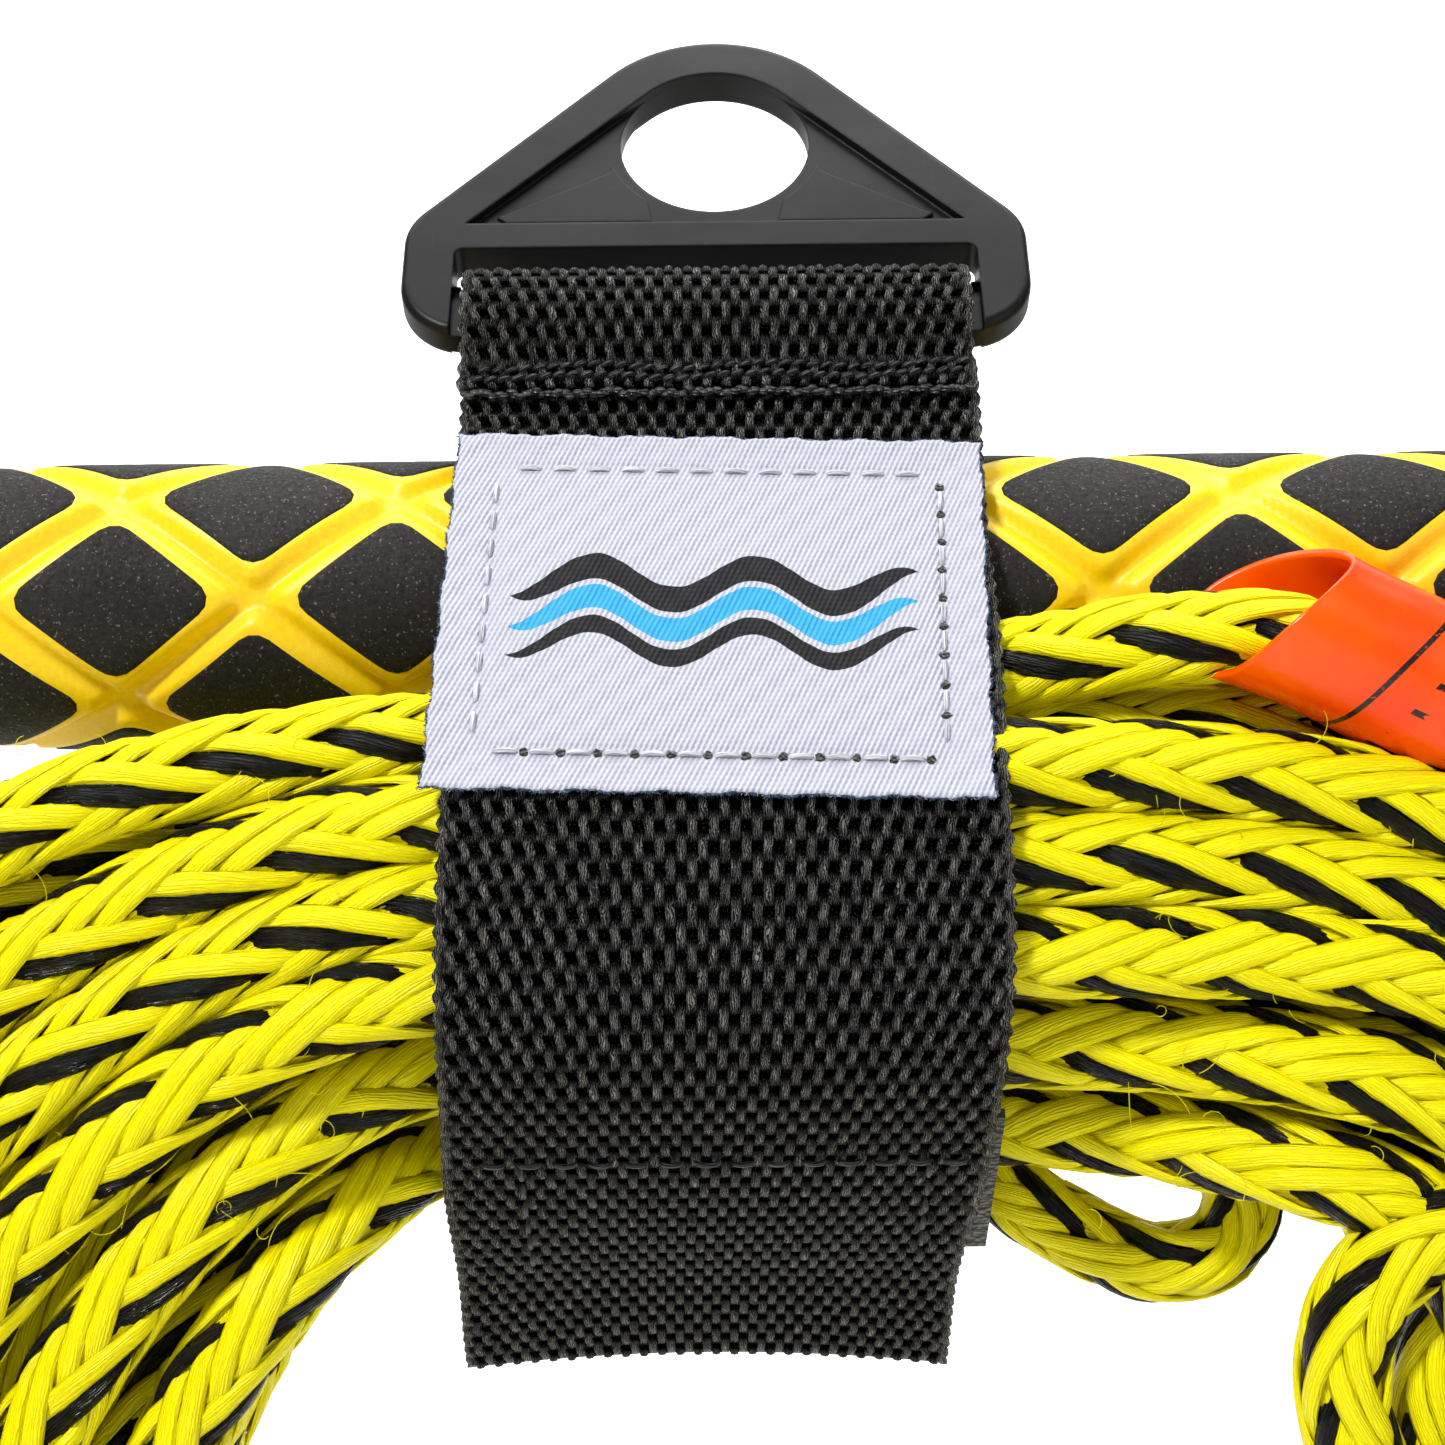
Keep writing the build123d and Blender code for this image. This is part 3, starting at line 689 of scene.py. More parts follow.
def build_single_ropes():
    """The eye at the boat end, two loose bights and the bridle."""
    eye = smooth_curve([(8, -2, -50), (18, 0, -54.5), (25.5, 0.5, -57.9), (33, -1, -62.6),
                        (42, -3, -66.6), (49.5, -4, -64.8), (51.3, -4, -58.5), (46.5, -3, -51),
                        (38, -2, -44)])
    points, along = sample_rope(eye, 1.0, 1.0)
    rope_piece("tow_rope_boat_end_eye", [braid(points, along, 0.6, 0.9)])
    # Two bights that hang inside the coil's right shoulder
    bights = [[(104, -23, -54), (90, -23, -54.5), (76, -23.5, -56.5), (64, -24, -60),
               (57.5, -23.5, -67), (57, -22.5, -77), (62, -21.5, -90), (69, -20, -108),
               (74, -16, -132), (76, -10, -160)],
              [(104, -17, -61), (92, -17.5, -62), (79, -18.5, -64), (69.5, -19.5, -68),
               (66, -19.5, -76), (69, -19, -88), (76, -18, -104), (82, -15, -128), (84, -9, -156)]]
    strands = []
    for bight in bights:
        points, along = sample_rope(smooth_curve(bight), 1.1, 2.6, near_front)
        strands.append(braid(points, along, rng.uniform(0, 6.28)))
    rope_piece("tow_rope_shoulder_bights", strands)
    in_sleeve = [SLEEVE_MOUTH + SLEEVE_RUN * d - SLEEVE_UP for d in (6, 40, 75, 108, 128)]
    past_sleeve = (188, -20, -61)
    bridle = smooth_curve([(-159, 0, 0), (-180, 0, 0), (-196, -1.5, -6), (-203, -9, -26),
                           (-193, -19, -47), (-160, -23, -54), (-125, -24, -52), (-92, -24, -38),
                           (-66, -24.6, -21.8), (-45, -23.4, -15.6), (-25.4, -21.4, -13.2),
                           (0, -19.2, -10.6), (25.4, -17.8, -7.6), (40, -21.0, -5.2), *in_sleeve,
                           past_sleeve, (207, -12, -42), (203, -4, -13), (188, -0.5, -1),
                           (174, 0, 0), (159, 0, 0)])
    points, along = sample_rope(bridle, 1.0, 2.2, lambda p: (np.abs(p[:, 0]) < 75) & (p[:, 1] < -5))
    # The rope gives with the sleeve, so it is parted inside the sleeve and again past it
    strand = braid(points, along, 2.2)
    inside, past = (int(np.argmin(np.linalg.norm(points - at, axis=1)))
                    for at in (in_sleeve[1], past_sleeve))
    left = rope_piece("bridle_rope_left", [strand_part(strand, len(points), 0, inside)], None)
    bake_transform(left)
    right = rope_piece("bridle_rope_right", [strand_part(strand, len(points), inside, past)], None)
    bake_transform(right)
    rope_piece("bridle_rope_return", [strand_part(strand, len(points), past, len(points))])


def build_stray_fibres():
    """Loose filaments that stand off the rope near the camera."""
    curves = []
    t = np.linspace(0, 1, 9)
    for _ in range(150):
        side = rng.choice([-1, 1])
        start = np.array([side * rng.uniform(32, 76), 0.0, rng.uniform(-58, -14)])
        start[1] = -29.8 + 0.03 * abs(start[0]) + rng.uniform(-0.6, 1.2)
        heading = rng.uniform(0, TAU)
        turn = rng.normal(0, 2.4)
        length = rng.uniform(1.5, 5.5)
        way = heading + turn * t
        step = np.stack([np.cos(way), -0.45 * np.sin(3 * t), np.sin(way)], 1)
        curves.append(start + np.cumsum(step, axis=0) * length / 9)
    thread_group("rope_stray_fibres", curves, 0.045, ROPE_YELLOW, "bundle", 4)


build_hank()
build_single_ropes()
build_stray_fibres()
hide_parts("tow_rope")
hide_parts("bridle_rope")


# ---- Grip -------------------------------------------------------------------

PAD_ROWS = 8
PAD_PITCH = 27.1
PAD_SHIFT = -3.9
PAD_HALF_LENGTH = 10.4
PAD_HALF_ARC = 8.5
PAD_ROUND = 1.7
FLOOR_R = 12.75
GRIP_BORE_R = 11.15
FLANK = 2.0
ROW_ARC = TAU * PAD_R / PAD_ROWS


def diamond_edge(x, arc):
    """Distance outside the nearest pad's rounded outline, along the grip's surface."""
    best = np.full(np.broadcast(x, arc).shape, 1e9)
    row = np.round(arc / ROW_ARC)
    length, width = PAD_HALF_LENGTH - 0.9, PAD_HALF_ARC - 0.8
    for step in (-1, 0, 1):
        this = row + step
        shift = PAD_SHIFT + np.mod(this, 2) * PAD_PITCH / 2
        dx = np.abs(x - shift - PAD_PITCH * np.round((x - shift) / PAD_PITCH))
        dy = np.abs(arc - this * ROW_ARC)
        flat = (dx * width + dy * length - length * width) / math.hypot(length, width)
        lip = np.hypot(np.maximum(dx - length, 0), np.maximum(dy - width, 0))
        best = np.minimum(best, np.maximum(flat, lip * 0.9) - 0.75)
    return best


def on_grip(x, arc, radius):
    """Point on the grip: arc is 0 on the side that faces the camera."""
    x, angle, radius = np.broadcast_arrays(x, arc / PAD_R, radius)
    return np.stack([x, -radius * np.cos(angle), radius * np.sin(angle)], -1)


def build_grip():
    """The base layer: a closed skin with channels sunk between the pads."""
    around, steps = 236, 400
    arc = np.linspace(-math.pi, math.pi, around, endpoint=False) * PAD_R
    x = np.linspace(-GRIP_HALF, GRIP_HALF, steps)
    xx, aa = np.meshgrid(x, arc, indexing="ij")
    edge = diamond_edge(xx, aa)
    flank = smoothstep(0.15, FLANK, edge)
    radius = PAD_R - 0.12 - (PAD_R - 0.12 - FLOOR_R) * flank
    end = smoothstep(GRIP_HALF - 1.5, GRIP_HALF, np.abs(xx))
    radius = radius * (1 - 0.03 * end)
    outer = on_grip(xx, aa, radius)
    left, right = (on_grip(end_x, arc, GRIP_BORE_R)[None] for end_x in (-GRIP_HALF, GRIP_HALF))
    points = np.concatenate([left, outer, right])
    uv = np.zeros((*points.shape[:2], 2))
    uv[..., 0] = points[..., 0]
    uv[..., 1] = arc
    faces = grid_faces(steps + 2, around, True, True)
    obj = make_piece("grip_base_skin", points, faces, [GRIP_YELLOW], "handle", uv)
    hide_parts("grip_base_layer")


def pad_outline():
    """Rounded diamond outline in (x, arc), even all round."""
    corners = [(PAD_HALF_LENGTH, 0), (0, PAD_HALF_ARC), (-PAD_HALF_LENGTH, 0), (0, -PAD_HALF_ARC)]
    start = (PAD_HALF_LENGTH / 2, -PAD_HALF_ARC / 2)
    path = fillet_path([start, *corners, start], [PAD_ROUND, PAD_ROUND + 0.5] * 2, 1.0)
    return resample(path, 1.05)[0][:-1]


def build_pads():
    """The black pads: eight rows of crowned diamonds, cut off at the grip's ends."""
    outline = pad_outline()
    count = len(outline)
    rings = [(0.985, -0.75), (1.0, -0.30), (0.985, -0.10), (0.955, 0.0), (0.86, 0.05),
             (0.6, 0.08), (0.3, 0.09)]
    verts, faces = [], []
    start = 0
    limit = GRIP_HALF - 1.2
    for row in range(PAD_ROWS):
        shift = PAD_SHIFT + (row % 2) * PAD_PITCH / 2
        for k in range(-6, 7):
            centre = shift + k * PAD_PITCH
            if abs(centre) > limit - 2:
                continue
            points = []
            for scale, lift in rings:
                x = np.clip(centre + outline[:, 0] * scale, -limit, limit)
                arc = row * ROW_ARC + outline[:, 1] * scale
                points.append(on_grip(x, arc, PAD_R + lift))
            points += [on_grip(centre, row * ROW_ARC, PAD_R + rings[end][1]) for end in (-1, 0)]
            points = np.vstack(points)
            quads = grid_faces(len(rings), count, wrap_cols=True, start=start).tolist()
            last = start + (len(rings) - 1) * count
            tip = start + len(rings) * count
            for c in range(count):
                quads.append([last + c, last + (c + 1) % count, tip])
                quads.append([start + (c + 1) % count, start + c, tip + 1])
            verts.append(points)
            faces.extend(quads)
            start += len(points)
    obj = make_piece("grip_diamond_pad_tops", np.vstack(verts), faces, [GRIP_BLACK], "handle")
    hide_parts("grip_diamond_pads")


build_grip()
build_pads()


# ---- Webbing ----------------------------------------------------------------

ENDS = 53
PICK = 1.93
STRAP_T = 1.5
SLOPE = math.radians(40.3)
SLOPE_CORNER = (-33.0, -42.5)


def on_lean(up, out=0.0):
    """(y, z) from the hanger's lower bar: up the lean, and out of its plane."""
    return (LOOP_PIVOT[1] + LEAN_UP[0] * up + LEAN_OUT[0] * out,
            LOOP_PIVOT[2] + LEAN_UP[1] * up + LEAN_OUT[1] * out)


def on_slope(along, inward=0.0):
    """(y, z) along the flap's slope under the hank, inward from its outer surface."""
    return (SLOPE_CORNER[0] + along * math.cos(SLOPE) + inward * math.sin(SLOPE),
            SLOPE_CORNER[1] - along * math.sin(SLOPE) + inward * math.cos(SLOPE))


def across_strap(x, place):
    """Points at x along a place given by (y, z)."""
    return np.stack(np.broadcast_arrays(x, *place), -1)


def strap_edge(along):
    """Knotted selvage: how far the edge stands out, in millimetres."""
    return 0.22 * np.sin(TAU * along / PICK) + 0.16 * np.sin(TAU * along / 31 + 1)


def weave(uu, vv):
    """Height of a plain weave at warp end uu and pick vv, and its crown, used for gloss and painted
    shade in the hollows.
    """
    cell = (np.floor(uu) + np.floor(vv)) % 2
    fu, fv = uu - np.floor(uu), vv - np.floor(vv)
    rib = np.abs(np.sin(math.pi * fu)) ** 0.30
    hump = np.abs(np.sin(math.pi * fv)) ** 0.42
    jitter = rng.normal(0, 0.035, size=(int(vv[-1, 0]) + 2, ENDS + 1))
    level = jitter[np.floor(vv).astype(int), np.floor(uu).astype(int)]
    warp = np.where(cell == 0, rib * hump, 0.0)
    weft = np.where(cell == 1, 0.62 * np.exp(-(np.minimum(fv, 1 - fv) / 0.13) ** 2), 0.0)
    height = 0.56 * warp + 0.42 * weft + level * warp
    # Knotted selvage at both edges
    side = np.abs(uu / ENDS * 2 - 1)
    selvage = smoothstep(0.955, 0.99, side)
    knots = 0.30 + 0.22 * np.sin(TAU * vv + 2.2 * np.sign(uu - ENDS / 2))
    round_edge = np.sqrt(np.maximum(1 - ((side - 0.975) / 0.03) ** 2, 0.0))
    height = height * (1 - selvage) + knots * selvage * round_edge
    # Crown: where the yarn stands up; it is low in the hollows, which the material paints in shade.
    crown = np.clip((warp * 0.95 + weft * 0.8) * (1 - selvage) + 0.75 * selvage, 0, 1)
    return height, crown


def nowhere(along):
    return 0.0 * along


def woven_strip(name, line, body, bow=nowhere, narrow=nowhere, drift=nowhere):
    """A strip of plain-woven webbing. line is its outer surface in (y, z), outside on the right.

    Along the strip, bow lifts its middle, narrow widens it and drift moves it sideways.
    """
    line, along = resample(line, PICK / 5)
    run = unit(np.gradient(line, axis=0))
    out = np.stack([run[:, 1], -run[:, 0]], 1)
    end_u = np.append((np.arange(ENDS)[:, None] + np.array([0, 0.13, 0.5, 0.87])).ravel(), ENDS)
    rows, cols, back_cols = len(line), len(end_u), 15
    uu, vv = np.meshgrid(end_u, along / PICK)
    height, crown = weave(uu, vv)
    place = uu / ENDS * 2 - 1
    half = (STRAP_HALF + narrow(along) + strap_edge(along))[:, None]
    shift, middle = drift(along)[:, None], bow(along)[:, None]

    def off_line(x, lift):
        """Points across the strip, lift millimetres out of the line."""
        return np.stack([x, *(line[:, k:k + 1] + out[:, k:k + 1] * lift for k in (0, 1))], -1)

    top = off_line(place * half + shift, height - 0.36 + middle * (1 - place ** 2))
    bu = np.linspace(-1, 1, back_cols)[None]
    drop = -STRAP_T * np.where(np.abs(bu) > 0.99, 0.6, 1.0) + middle * (1 - bu ** 2)
    drop = drop + 0.10 * np.sin(TAU * along / PICK)[:, None]
    back = off_line(bu * half + shift, drop)
    faces = grid_faces(rows, cols).tolist()
    base = rows * cols
    faces += grid_faces(rows, back_cols, start=base)[:, ::-1].tolist()
    for r in range(rows - 1):
        a, b = r * cols, (r + 1) * cols
        c, d = base + r * back_cols, base + (r + 1) * back_cols
        faces.append([a, b, d, c])
        faces.append([b + cols - 1, a + cols - 1, c + back_cols - 1, d + back_cols - 1])
    first = list(range(cols)) + [base + k for k in range(back_cols - 1, -1, -1)]
    last_top, last_back = (rows - 1) * cols, base + (rows - 1) * back_cols
    last = [last_top + k for k in range(cols - 1, -1, -1)]
    last += [last_back + k for k in range(back_cols)]
    faces += [first[::-1], last[::-1]]
    verts = np.vstack([top.reshape(-1, 3), back.reshape(-1, 3)])
    uv = np.zeros((len(verts), 2))
    uv[:, 0] = verts[:, 0]
    uv[:base, 1] = np.repeat(along, cols)
    uv[base:, 1] = np.repeat(along, back_cols)
    obj = make_piece(name, verts, faces, [WEBBING], body, uv)
    # The crown attribute drives the yarn's gloss and the painted shade in its hollows; the back
    # gets an even middle value.
    shade = np.concatenate([crown.ravel(), np.full(rows * back_cols, 0.5)])
    attribute = obj.data.attributes.new("crown", "FLOAT", "POINT")
    attribute.data.foreach_set("value", shade.astype(np.float32))
    return obj


PEEL_UP = float(np.dot((PEEL - BAR)[1:] / MM - LOOP_PIVOT[1:], LEAN_UP))
LOOP_R = 3.6
HANK_GAP = 4.0
CORNER_UP = float((SLOPE_CORNER[0] - LOOP_PIVOT[1]) / LEAN_UP[0])


def build_straps():
    """Back strap with its hem over the hanger, and the front strap that peels open."""
    reach = LOOP_R + STRAP_T
    hem = fillet_path([on_lean(PEEL_UP + 0.8, STRAP_T), on_lean(-6, STRAP_T), on_lean(-2.5, reach),
                       on_lean(reach, reach), on_lean(reach, -reach), on_lean(-2.5, -reach),
                       on_lean(-6, -2 * STRAP_T)], [2.5, 3.0, 4.6, 4.6, 3.0])
    loop = woven_strip("back_strap_hem_loop", hem[::-1], "bundle")
    behind = fillet_path([on_lean(-6.2, -2 * STRAP_T), on_lean(PEEL_UP + 3, -2 * STRAP_T),
                          (17.3, 16.0), (17.3, -65.1), on_slope(39.5, HANK_GAP),
                          on_slope(11.6, HANK_GAP)], [1.5, 16.0, 10.5, 6.0])
    woven_strip("back_strap_run", behind[::-1], "bundle")
    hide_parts("back_strap")
    front = fillet_path([on_lean(-6.2), on_lean(CORNER_UP), SLOPE_CORNER, on_slope(41.7),
                         (9.0, -80.0)], [20, 18, 20])
    total = np.linalg.norm(np.diff(front, axis=0), axis=1).sum()
    flap = woven_strip("front_strap_webbing", front, None,
                       bow=lambda s: -1.6 * smoothstep(total - 34, total, s),
                       narrow=lambda s: -0.5 * smoothstep(total - 42, total, s),
                       drift=lambda s: 0.3 - 2.4 * smoothstep(total - 75, total, s))
    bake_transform(flap)
    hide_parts("front_strap", "front_strap_sewn_end")


build_straps()


# ---- Label ------------------------------------------------------------------

LABEL_W, LABEL_H = 50.5, 40.7
LABEL_MID_UP = PEEL_UP - 5.3 - LABEL_H / 2
LABEL_TILT = math.radians(-2.0)
LABEL_OUT = 0.42
LABEL_T = 0.34
LABEL_SEAM_U = LABEL_W / 2 - 4
LABEL_SEAM_V = LABEL_H / 2 - 4


def on_label(u, v, out):
    """Point at u, v millimetres from the label's middle, out of the strap's face."""
    x = u * math.cos(LABEL_TILT) - v * math.sin(LABEL_TILT) - 0.5
    up = u * math.sin(LABEL_TILT) + v * math.cos(LABEL_TILT) + LABEL_MID_UP
    return across_strap(x, on_lean(up, out))


def label_swell(u, v):
    """How far the cloth stands off the strap: puckered along its stitches."""
    past_seam = np.maximum(np.abs(u) - LABEL_SEAM_U, np.abs(v) - LABEL_SEAM_V)
    seam = np.exp(-(past_seam / 0.9) ** 2)
    ripple = 0.10 * np.sin(u * 1.9) * np.sin(v * 1.9)
    ripple = ripple + 0.07 * np.sin(u * 0.33 + 1) * np.cos(v * 0.27)
    edge = sum(smoothstep(size / 2 - 2.5, size / 2, np.abs(at))
               for at, size in ((u, LABEL_W), (v, LABEL_H)))
    return LABEL_OUT - 0.16 * seam + ripple * (1 - seam) * 0.9 + 0.22 * np.minimum(edge, 1)


def ragged(t, seed):
    """How far a cut edge wanders at t millimetres along it."""
    waves = ((0.12, 0.9), (0.06, 3.1), (0.04, 7.7))
    return sum(size * np.sin(t * pace + k * seed) for k, (size, pace) in enumerate(waves, 1))


def build_label():
    """The label's cloth: a thin closed sheet with ragged edges."""
    cols, rows = 180, 146
    u = np.linspace(-1, 1, cols) * LABEL_W / 2
    v = np.linspace(-1, 1, rows) * LABEL_H / 2
    uu, vv = np.meshgrid(u, v)
    reach_u = 1 + ragged(vv, 1.0) * np.abs(uu / LABEL_W * 2) ** 8 / LABEL_W * 2
    reach_v = 1 + ragged(uu, 2.0) * np.abs(vv / LABEL_H * 2) ** 8 / LABEL_H * 2
    su, sv = uu * reach_u, vv * reach_v
    top = on_label(su, sv, label_swell(uu, vv))
    back = on_label(su, sv, label_swell(uu, vv) - LABEL_T)
    verts = np.vstack([top.reshape(-1, 3), back.reshape(-1, 3)])
    size = rows * cols
    faces = grid_faces(rows, cols).tolist() + grid_faces(rows, cols, start=size)[:, ::-1].tolist()
    rim = list(range(cols)) + [r * cols + cols - 1 for r in range(1, rows)]
    rim += [(rows - 1) * cols + k for k in range(cols - 2, -1, -1)]
    rim += [r * cols for r in range(rows - 2, 0, -1)]
    for a, b in zip(rim, rim[1:] + rim[:1]):
        faces.append([b, a, a + size, b + size])
    uv = np.tile(np.stack([su.ravel(), sv.ravel()], 1), (2, 1))
    obj = make_piece("label_cloth_sheet", verts, faces, [LABEL], "flap", uv)
    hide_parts("label")


STITCH_PITCH = 3.3
STITCH_HALF = 1.15


def seam_centres(length, pitch=STITCH_PITCH):
    """Middles of the stitches of a seam, from its own middle."""
    count = int(length / pitch)
    return (np.arange(count) - (count - 1) / 2) * pitch


def stitch_arch(t):
    """Rise of a stitch between its two holes, for t from -1 to 1."""
    return (1 - t ** 2) ** 0.6


def build_label_stitches():
    """White running stitch, with needle holes that show along the foot and the right side."""
    half_u, half_v = LABEL_SEAM_U, LABEL_SEAM_V
    curves, holes = [], []
    t = np.linspace(-1, 1, 9)
    lift = 0.42 * stitch_arch(t) - 0.12
    for side in (-1, 1):
        for at in seam_centres(2 * half_u):
            span = at + STITCH_HALF * t
            curves.append(on_label(span, side * half_v, label_swell(span, side * half_v) + lift))
            if side < 0:
                holes.append((at + STITCH_PITCH / 2, side * half_v))
        for at in seam_centres(2 * half_v):
            span = at + STITCH_HALF * t
            curves.append(on_label(side * half_u, span, label_swell(side * half_u, span) + lift))
            if side > 0:
                holes.append((side * half_u, at + STITCH_PITCH / 2))
    obj = thread_group("label_running_stitch", curves, 0.24, THREAD_WHITE, "flap")
    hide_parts("label_stitching")
    verts, faces = [], []
    start = 0
    ring = np.linspace(0, TAU, 11)[:-1]
    for u, v in holes:
        wobble = 0.46 * (1 + 0.22 * rng.uniform(-1, 1, len(ring)))
        du, dv = wobble * np.cos(ring), wobble * np.sin(ring)
        swell = label_swell(u + du, v + dv)
        for spread, rise in ((1.0, -0.2), (1.0, 0.05), (0.5, 0.075)):
            verts.append(on_label(u + du * spread, v + dv * spread, swell + rise))
        faces += grid_faces(3, len(ring), wrap_cols=True, start=start).tolist()
        faces.append([start + 2 * len(ring) + k for k in range(len(ring))])
        faces.append([start + k for k in range(len(ring))][::-1])
        start += 3 * len(ring)
    make_piece("label_needle_holes", np.vstack(verts), faces, [NEEDLE_HOLE], "flap")


def build_label_fuzz():
    """Short cut threads all along the label's edges."""
    navy, pale = [], []
    s = np.linspace(-0.35, 1, 4)
    foot_top = (LABEL_W, LABEL_H, 2.0)
    sides = (LABEL_H, LABEL_W, 1.0)
    for (length, other, seed), sign in ((foot_top, -1), (foot_top, 1), (sides, 1), (sides, -1)):
        for _ in range(int(length * 14)):
            t = rng.uniform(-length / 2, length / 2)
            reach, bend = rng.uniform(0.12, 0.42), rng.normal(0, 0.22)
            rise = rng.uniform(-0.1, 0.12)
            at = (t + bend * s ** 2, sign * (other / 2 + ragged(t, seed) + s * reach - 0.1))
            curve = on_label(*(at if length == LABEL_W else at[::-1]), LABEL_OUT + rise * s)
            (navy if rng.uniform() < 0.85 else pale).append(curve)
    thread_group("label_cut_edge_navy", navy, 0.075, THREAD_NAVY, "flap", 4)
    thread_group("label_cut_edge_pale", pale, 0.06, THREAD_WHITE, "flap", 4)


build_label()
build_label_stitches()
build_label_fuzz()


# ---- Seams on the strap -----------------------------------------------------

def build_seams():
    """Hem seam and the melted end beside it, and the hook tape's box stitch."""
    t = np.linspace(-1, 1, 7)
    curves = []
    for row, shift in ((1.9, 0.0), (3.1, 0.7)):
        for at in seam_centres(2 * STRAP_HALF - 2, 1.35):
            up = PEEL_UP + row + 0.35 * np.sin(at * 0.35) + 0.28 * t + rng.normal(0, 0.05)
            lift = STRAP_T + 0.05 + 0.36 * stitch_arch(t)
            curves.append(across_strap(at + shift + 0.62 * t, on_lean(up, lift)))
    obj = thread_group("hem_seam_thread", curves, 0.22, THREAD_BLACK, "bundle")
    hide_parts("hem_stitching")
    # Melted cut end of the hem
    melt = []
    s = np.linspace(-1, 1, 5)
    for at in np.arange(-STRAP_HALF + 0.6, STRAP_HALF - 0.6, 0.55):
        x = at + 0.5 * s + rng.normal(0, 0.1)
        up = PEEL_UP + 0.55 + rng.normal(0, 0.18) - 0.45 * (1 - s ** 2)
        lift = 0.8 + 0.5 * (1 - s ** 2) + rng.uniform(-0.2, 0.25)
        melt.append(across_strap(x, on_lean(up, lift)))
    thread_group("hem_melted_end", melt, 0.34, THREAD_BLACK, "bundle")
    box = []
    top, foot = 16.1, 36.0
    lift = -(0.10 + 0.42 * stitch_arch(t))
    for x in seam_centres(2 * STRAP_HALF - 3):
        box.append(across_strap(x + STITCH_HALF * t, on_slope(top, lift)))
    for x in (-19.0, 19.0):
        for at in seam_centres(foot - top):
            along = (top + foot) / 2 + at + STITCH_HALF * t
            box.append(across_strap(x, on_slope(along, lift)))
    obj = thread_group("hook_tape_box_stitch", box, 0.26, THREAD_BLACK, "flap")
    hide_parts("hook_patch_stitching")


build_seams()


# ---- Sleeve -----------------------------------------------------------------

def build_sleeve():
    """Orange tube with a slanted, slightly flared mouth and a few dents."""
    length, outer, inner = 105.0, 7.5, 6.75
    around = 96
    angle = np.linspace(-math.pi, math.pi, around, endpoint=False)
    stations = np.concatenate([np.linspace(0, 12, 40), np.linspace(12.5, length, 120)])

    def skin(radius):
        """The tube's skin: angle 0 faces the camera, positive angles turn upwards."""
        rows = []
        for s in stations:
            cut = 3.4 * np.cos(angle - 0.3) + 2.2 * np.sin(angle) - 1.2 * np.cos(2 * angle)
            start = cut - 1.4
            at = start + (length - start) * (s / length)
            flare = 0.35 * np.exp(-s / 2.2)
            dent = 0.16 * np.sin(0.12 * at + angle) + 0.10 * np.sin(0.31 * at - 2 * angle)
            r = radius + flare + dent
            rows.append(SLEEVE_MOUTH + at[:, None] * SLEEVE_RUN
                        + (r * np.sin(angle))[:, None] * SLEEVE_UP
                        - (r * np.cos(angle))[:, None] * np.array([0, 1, 0]))
        return np.stack(rows)

    out_skin, in_skin = skin(outer), skin(inner)
    points = np.concatenate([out_skin, in_skin[::-1]])
    rows = len(points)
    faces = grid_faces(rows, around, wrap_cols=True, wrap_rows=True)
    uv = np.zeros((rows, around, 2))
    uv[..., 0] = np.concatenate([stations, stations[::-1]])[:, None]
    uv[..., 1] = angle * outer
    uv[len(stations):, :, 1] += 200
    obj = make_piece("rope_sleeve_tube", points, faces, [SLEEVE_ORANGE], "sleeve", uv)
    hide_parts("rope_sleeve")


build_sleeve()


# ---- CAD nodes that stay ------------------------------------------------------

KEPT = {
    "hanger": HANGER_PLASTIC,
    "left_end_cap": CAP_PLASTIC,
    "right_end_cap": CAP_PLASTIC,
    "handle_tube": TUBE_ALLOY,
    "hook_patch": HOOK_TAPE,
    "loop_patch": LOOP_TAPE,
    "loop_patch_stitching": THREAD_BLACK,
}
for node, mat in KEPT.items():
    obj = frame["nodes"][node]
    for place in obj.material_slots:
        place.material = mat


# ---- Stage, lights and camera -------------------------------------------------

STAGE_HALF = 6.0
STAGE_BEND_R = 0.4
STAGE_BEND_Y = 0.7


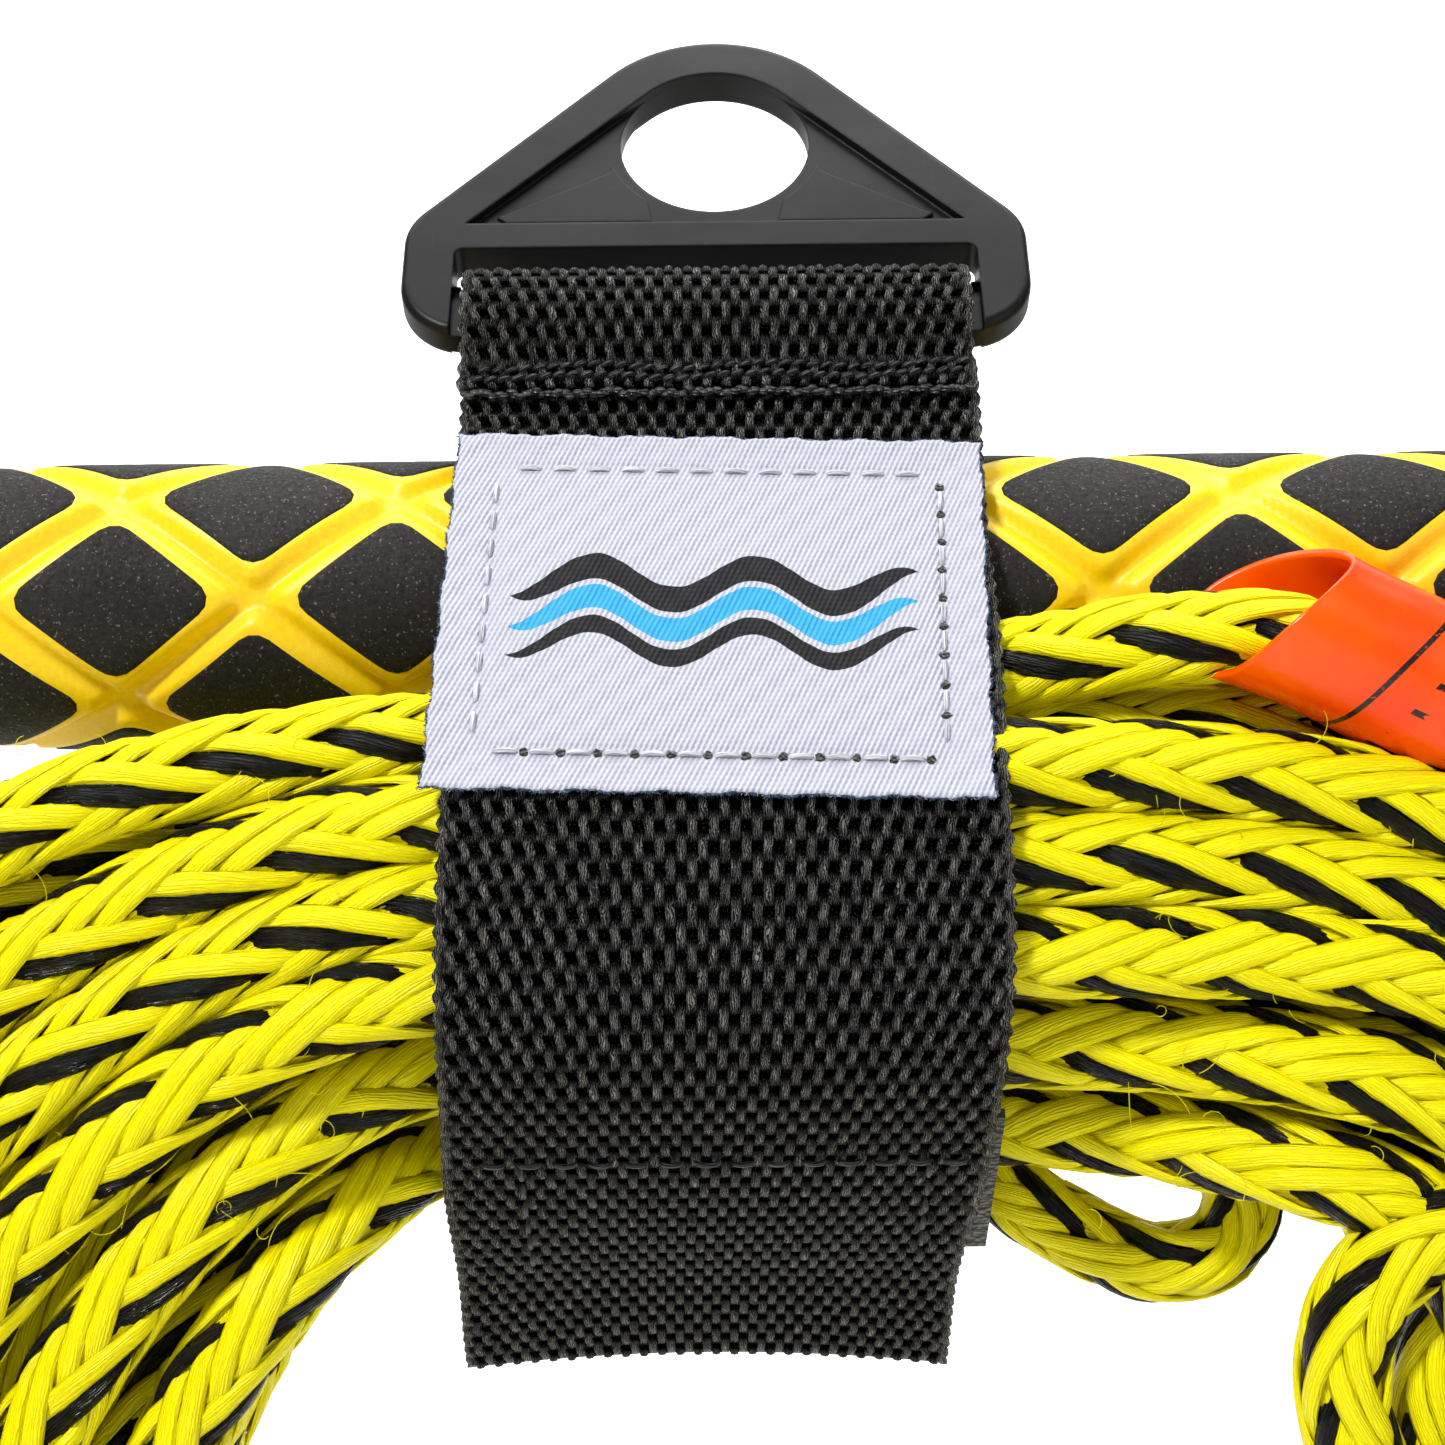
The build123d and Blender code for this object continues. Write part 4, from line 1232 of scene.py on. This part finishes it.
def build_stage():
    """A pale floor that curves up into a wall behind the object. Metres."""
    floor_z = cad_box[0][2] - 0.03
    profile = [(-STAGE_HALF, floor_z), (STAGE_BEND_Y, floor_z)]
    for b in np.linspace(0, math.pi / 2, 12):
        profile.append((STAGE_BEND_Y + STAGE_BEND_R * math.sin(b),
                        floor_z + STAGE_BEND_R * (1 - math.cos(b))))
    profile.append((1.1, 2.6))
    verts = [(x, y, z) for y, z in profile for x in (-STAGE_HALF, STAGE_HALF)]
    faces = [[2 * k, 2 * k + 1, 2 * k + 3, 2 * k + 2] for k in range(len(profile) - 1)]
    mesh = bpy.data.meshes.new("stage_sweep")
    mesh.from_pydata(verts, [], faces)
    mesh.polygons.foreach_set("use_smooth", [True] * len(faces))
    n = Nodes("stage_paper")
    n.colour(n.ramp(n.noise(n.coords(), 3, 2), (0.3, 0.91), (0.7, 0.93)))
    seen = n.add("ShaderNodeLightPath").outputs["Is Camera Ray"]
    n.set(Roughness=0.9, Emission_Color=(1, 1, 1), Emission_Strength=n.times(seen, 0.7))
    mesh.materials.append(n.block)
    add_object("stage_sweep", mesh)


def add_light(name, place, target, size, power, colour=(1, 1, 1)):
    data = bpy.data.lights.new(name, "AREA")
    data.shape = "DISK"
    data.size = size
    data.energy = power
    data.color = colour
    light, aim = add_object(name, data), add_object(name + "_aim", None)
    light.location, aim.location = place, target
    track = light.constraints.new("TRACK_TO")
    track.target = aim
    track.track_axis = "TRACK_NEGATIVE_Z"
    track.up_axis = "UP_Y"


def build_lights():
    centre = tuple(BAR)
    add_light("key", (-0.55, -0.85, 0.75), centre, 0.2, 15.5, (1.0, 0.99, 0.97))
    add_light("fill", (0.9, -0.8, 0.15), centre, 0.9, 2.6, (0.97, 0.98, 1.0))
    add_light("top", (0.1, 0.1, 1.1), centre, 0.7, 2.6)
    add_light("back_wall", (0.0, 0.35, 0.9), (0.0, 1.1, 0.1), 1.4, 15.0)
    # The camera sees white paper all round; the object gets a softer share of it
    n = Nodes("studio", bpy.data.worlds, "Background")
    seen = n.add("ShaderNodeLightPath").outputs["Is Camera Ray"]
    strength = n.add("ShaderNodeMapRange", Value=seen, **{"To Min": 0.19, "To Max": 1.0})
    n.set(Color=(1, 1, 1), Strength=strength.outputs["Result"])
    bpy.context.scene.world = n.block


IMAGE_PX = 1445
FOCAL_PX = 2450


def build_camera():
    data = bpy.data.cameras.new("camera")
    data.sensor_width = 36.0
    data.lens = 36.0 * FOCAL_PX / IMAGE_PX
    data.clip_start = 0.01
    camera = add_object("camera", data)
    camera.location = BAR + np.array([0.2, -248.0, -12.3]) * MM
    camera.rotation_euler = (math.pi / 2, math.radians(0.6), 0)
    bpy.context.scene.camera = camera


build_stage()
build_lights()
build_camera()
bpy.context.scene.view_settings.view_transform = "Standard"
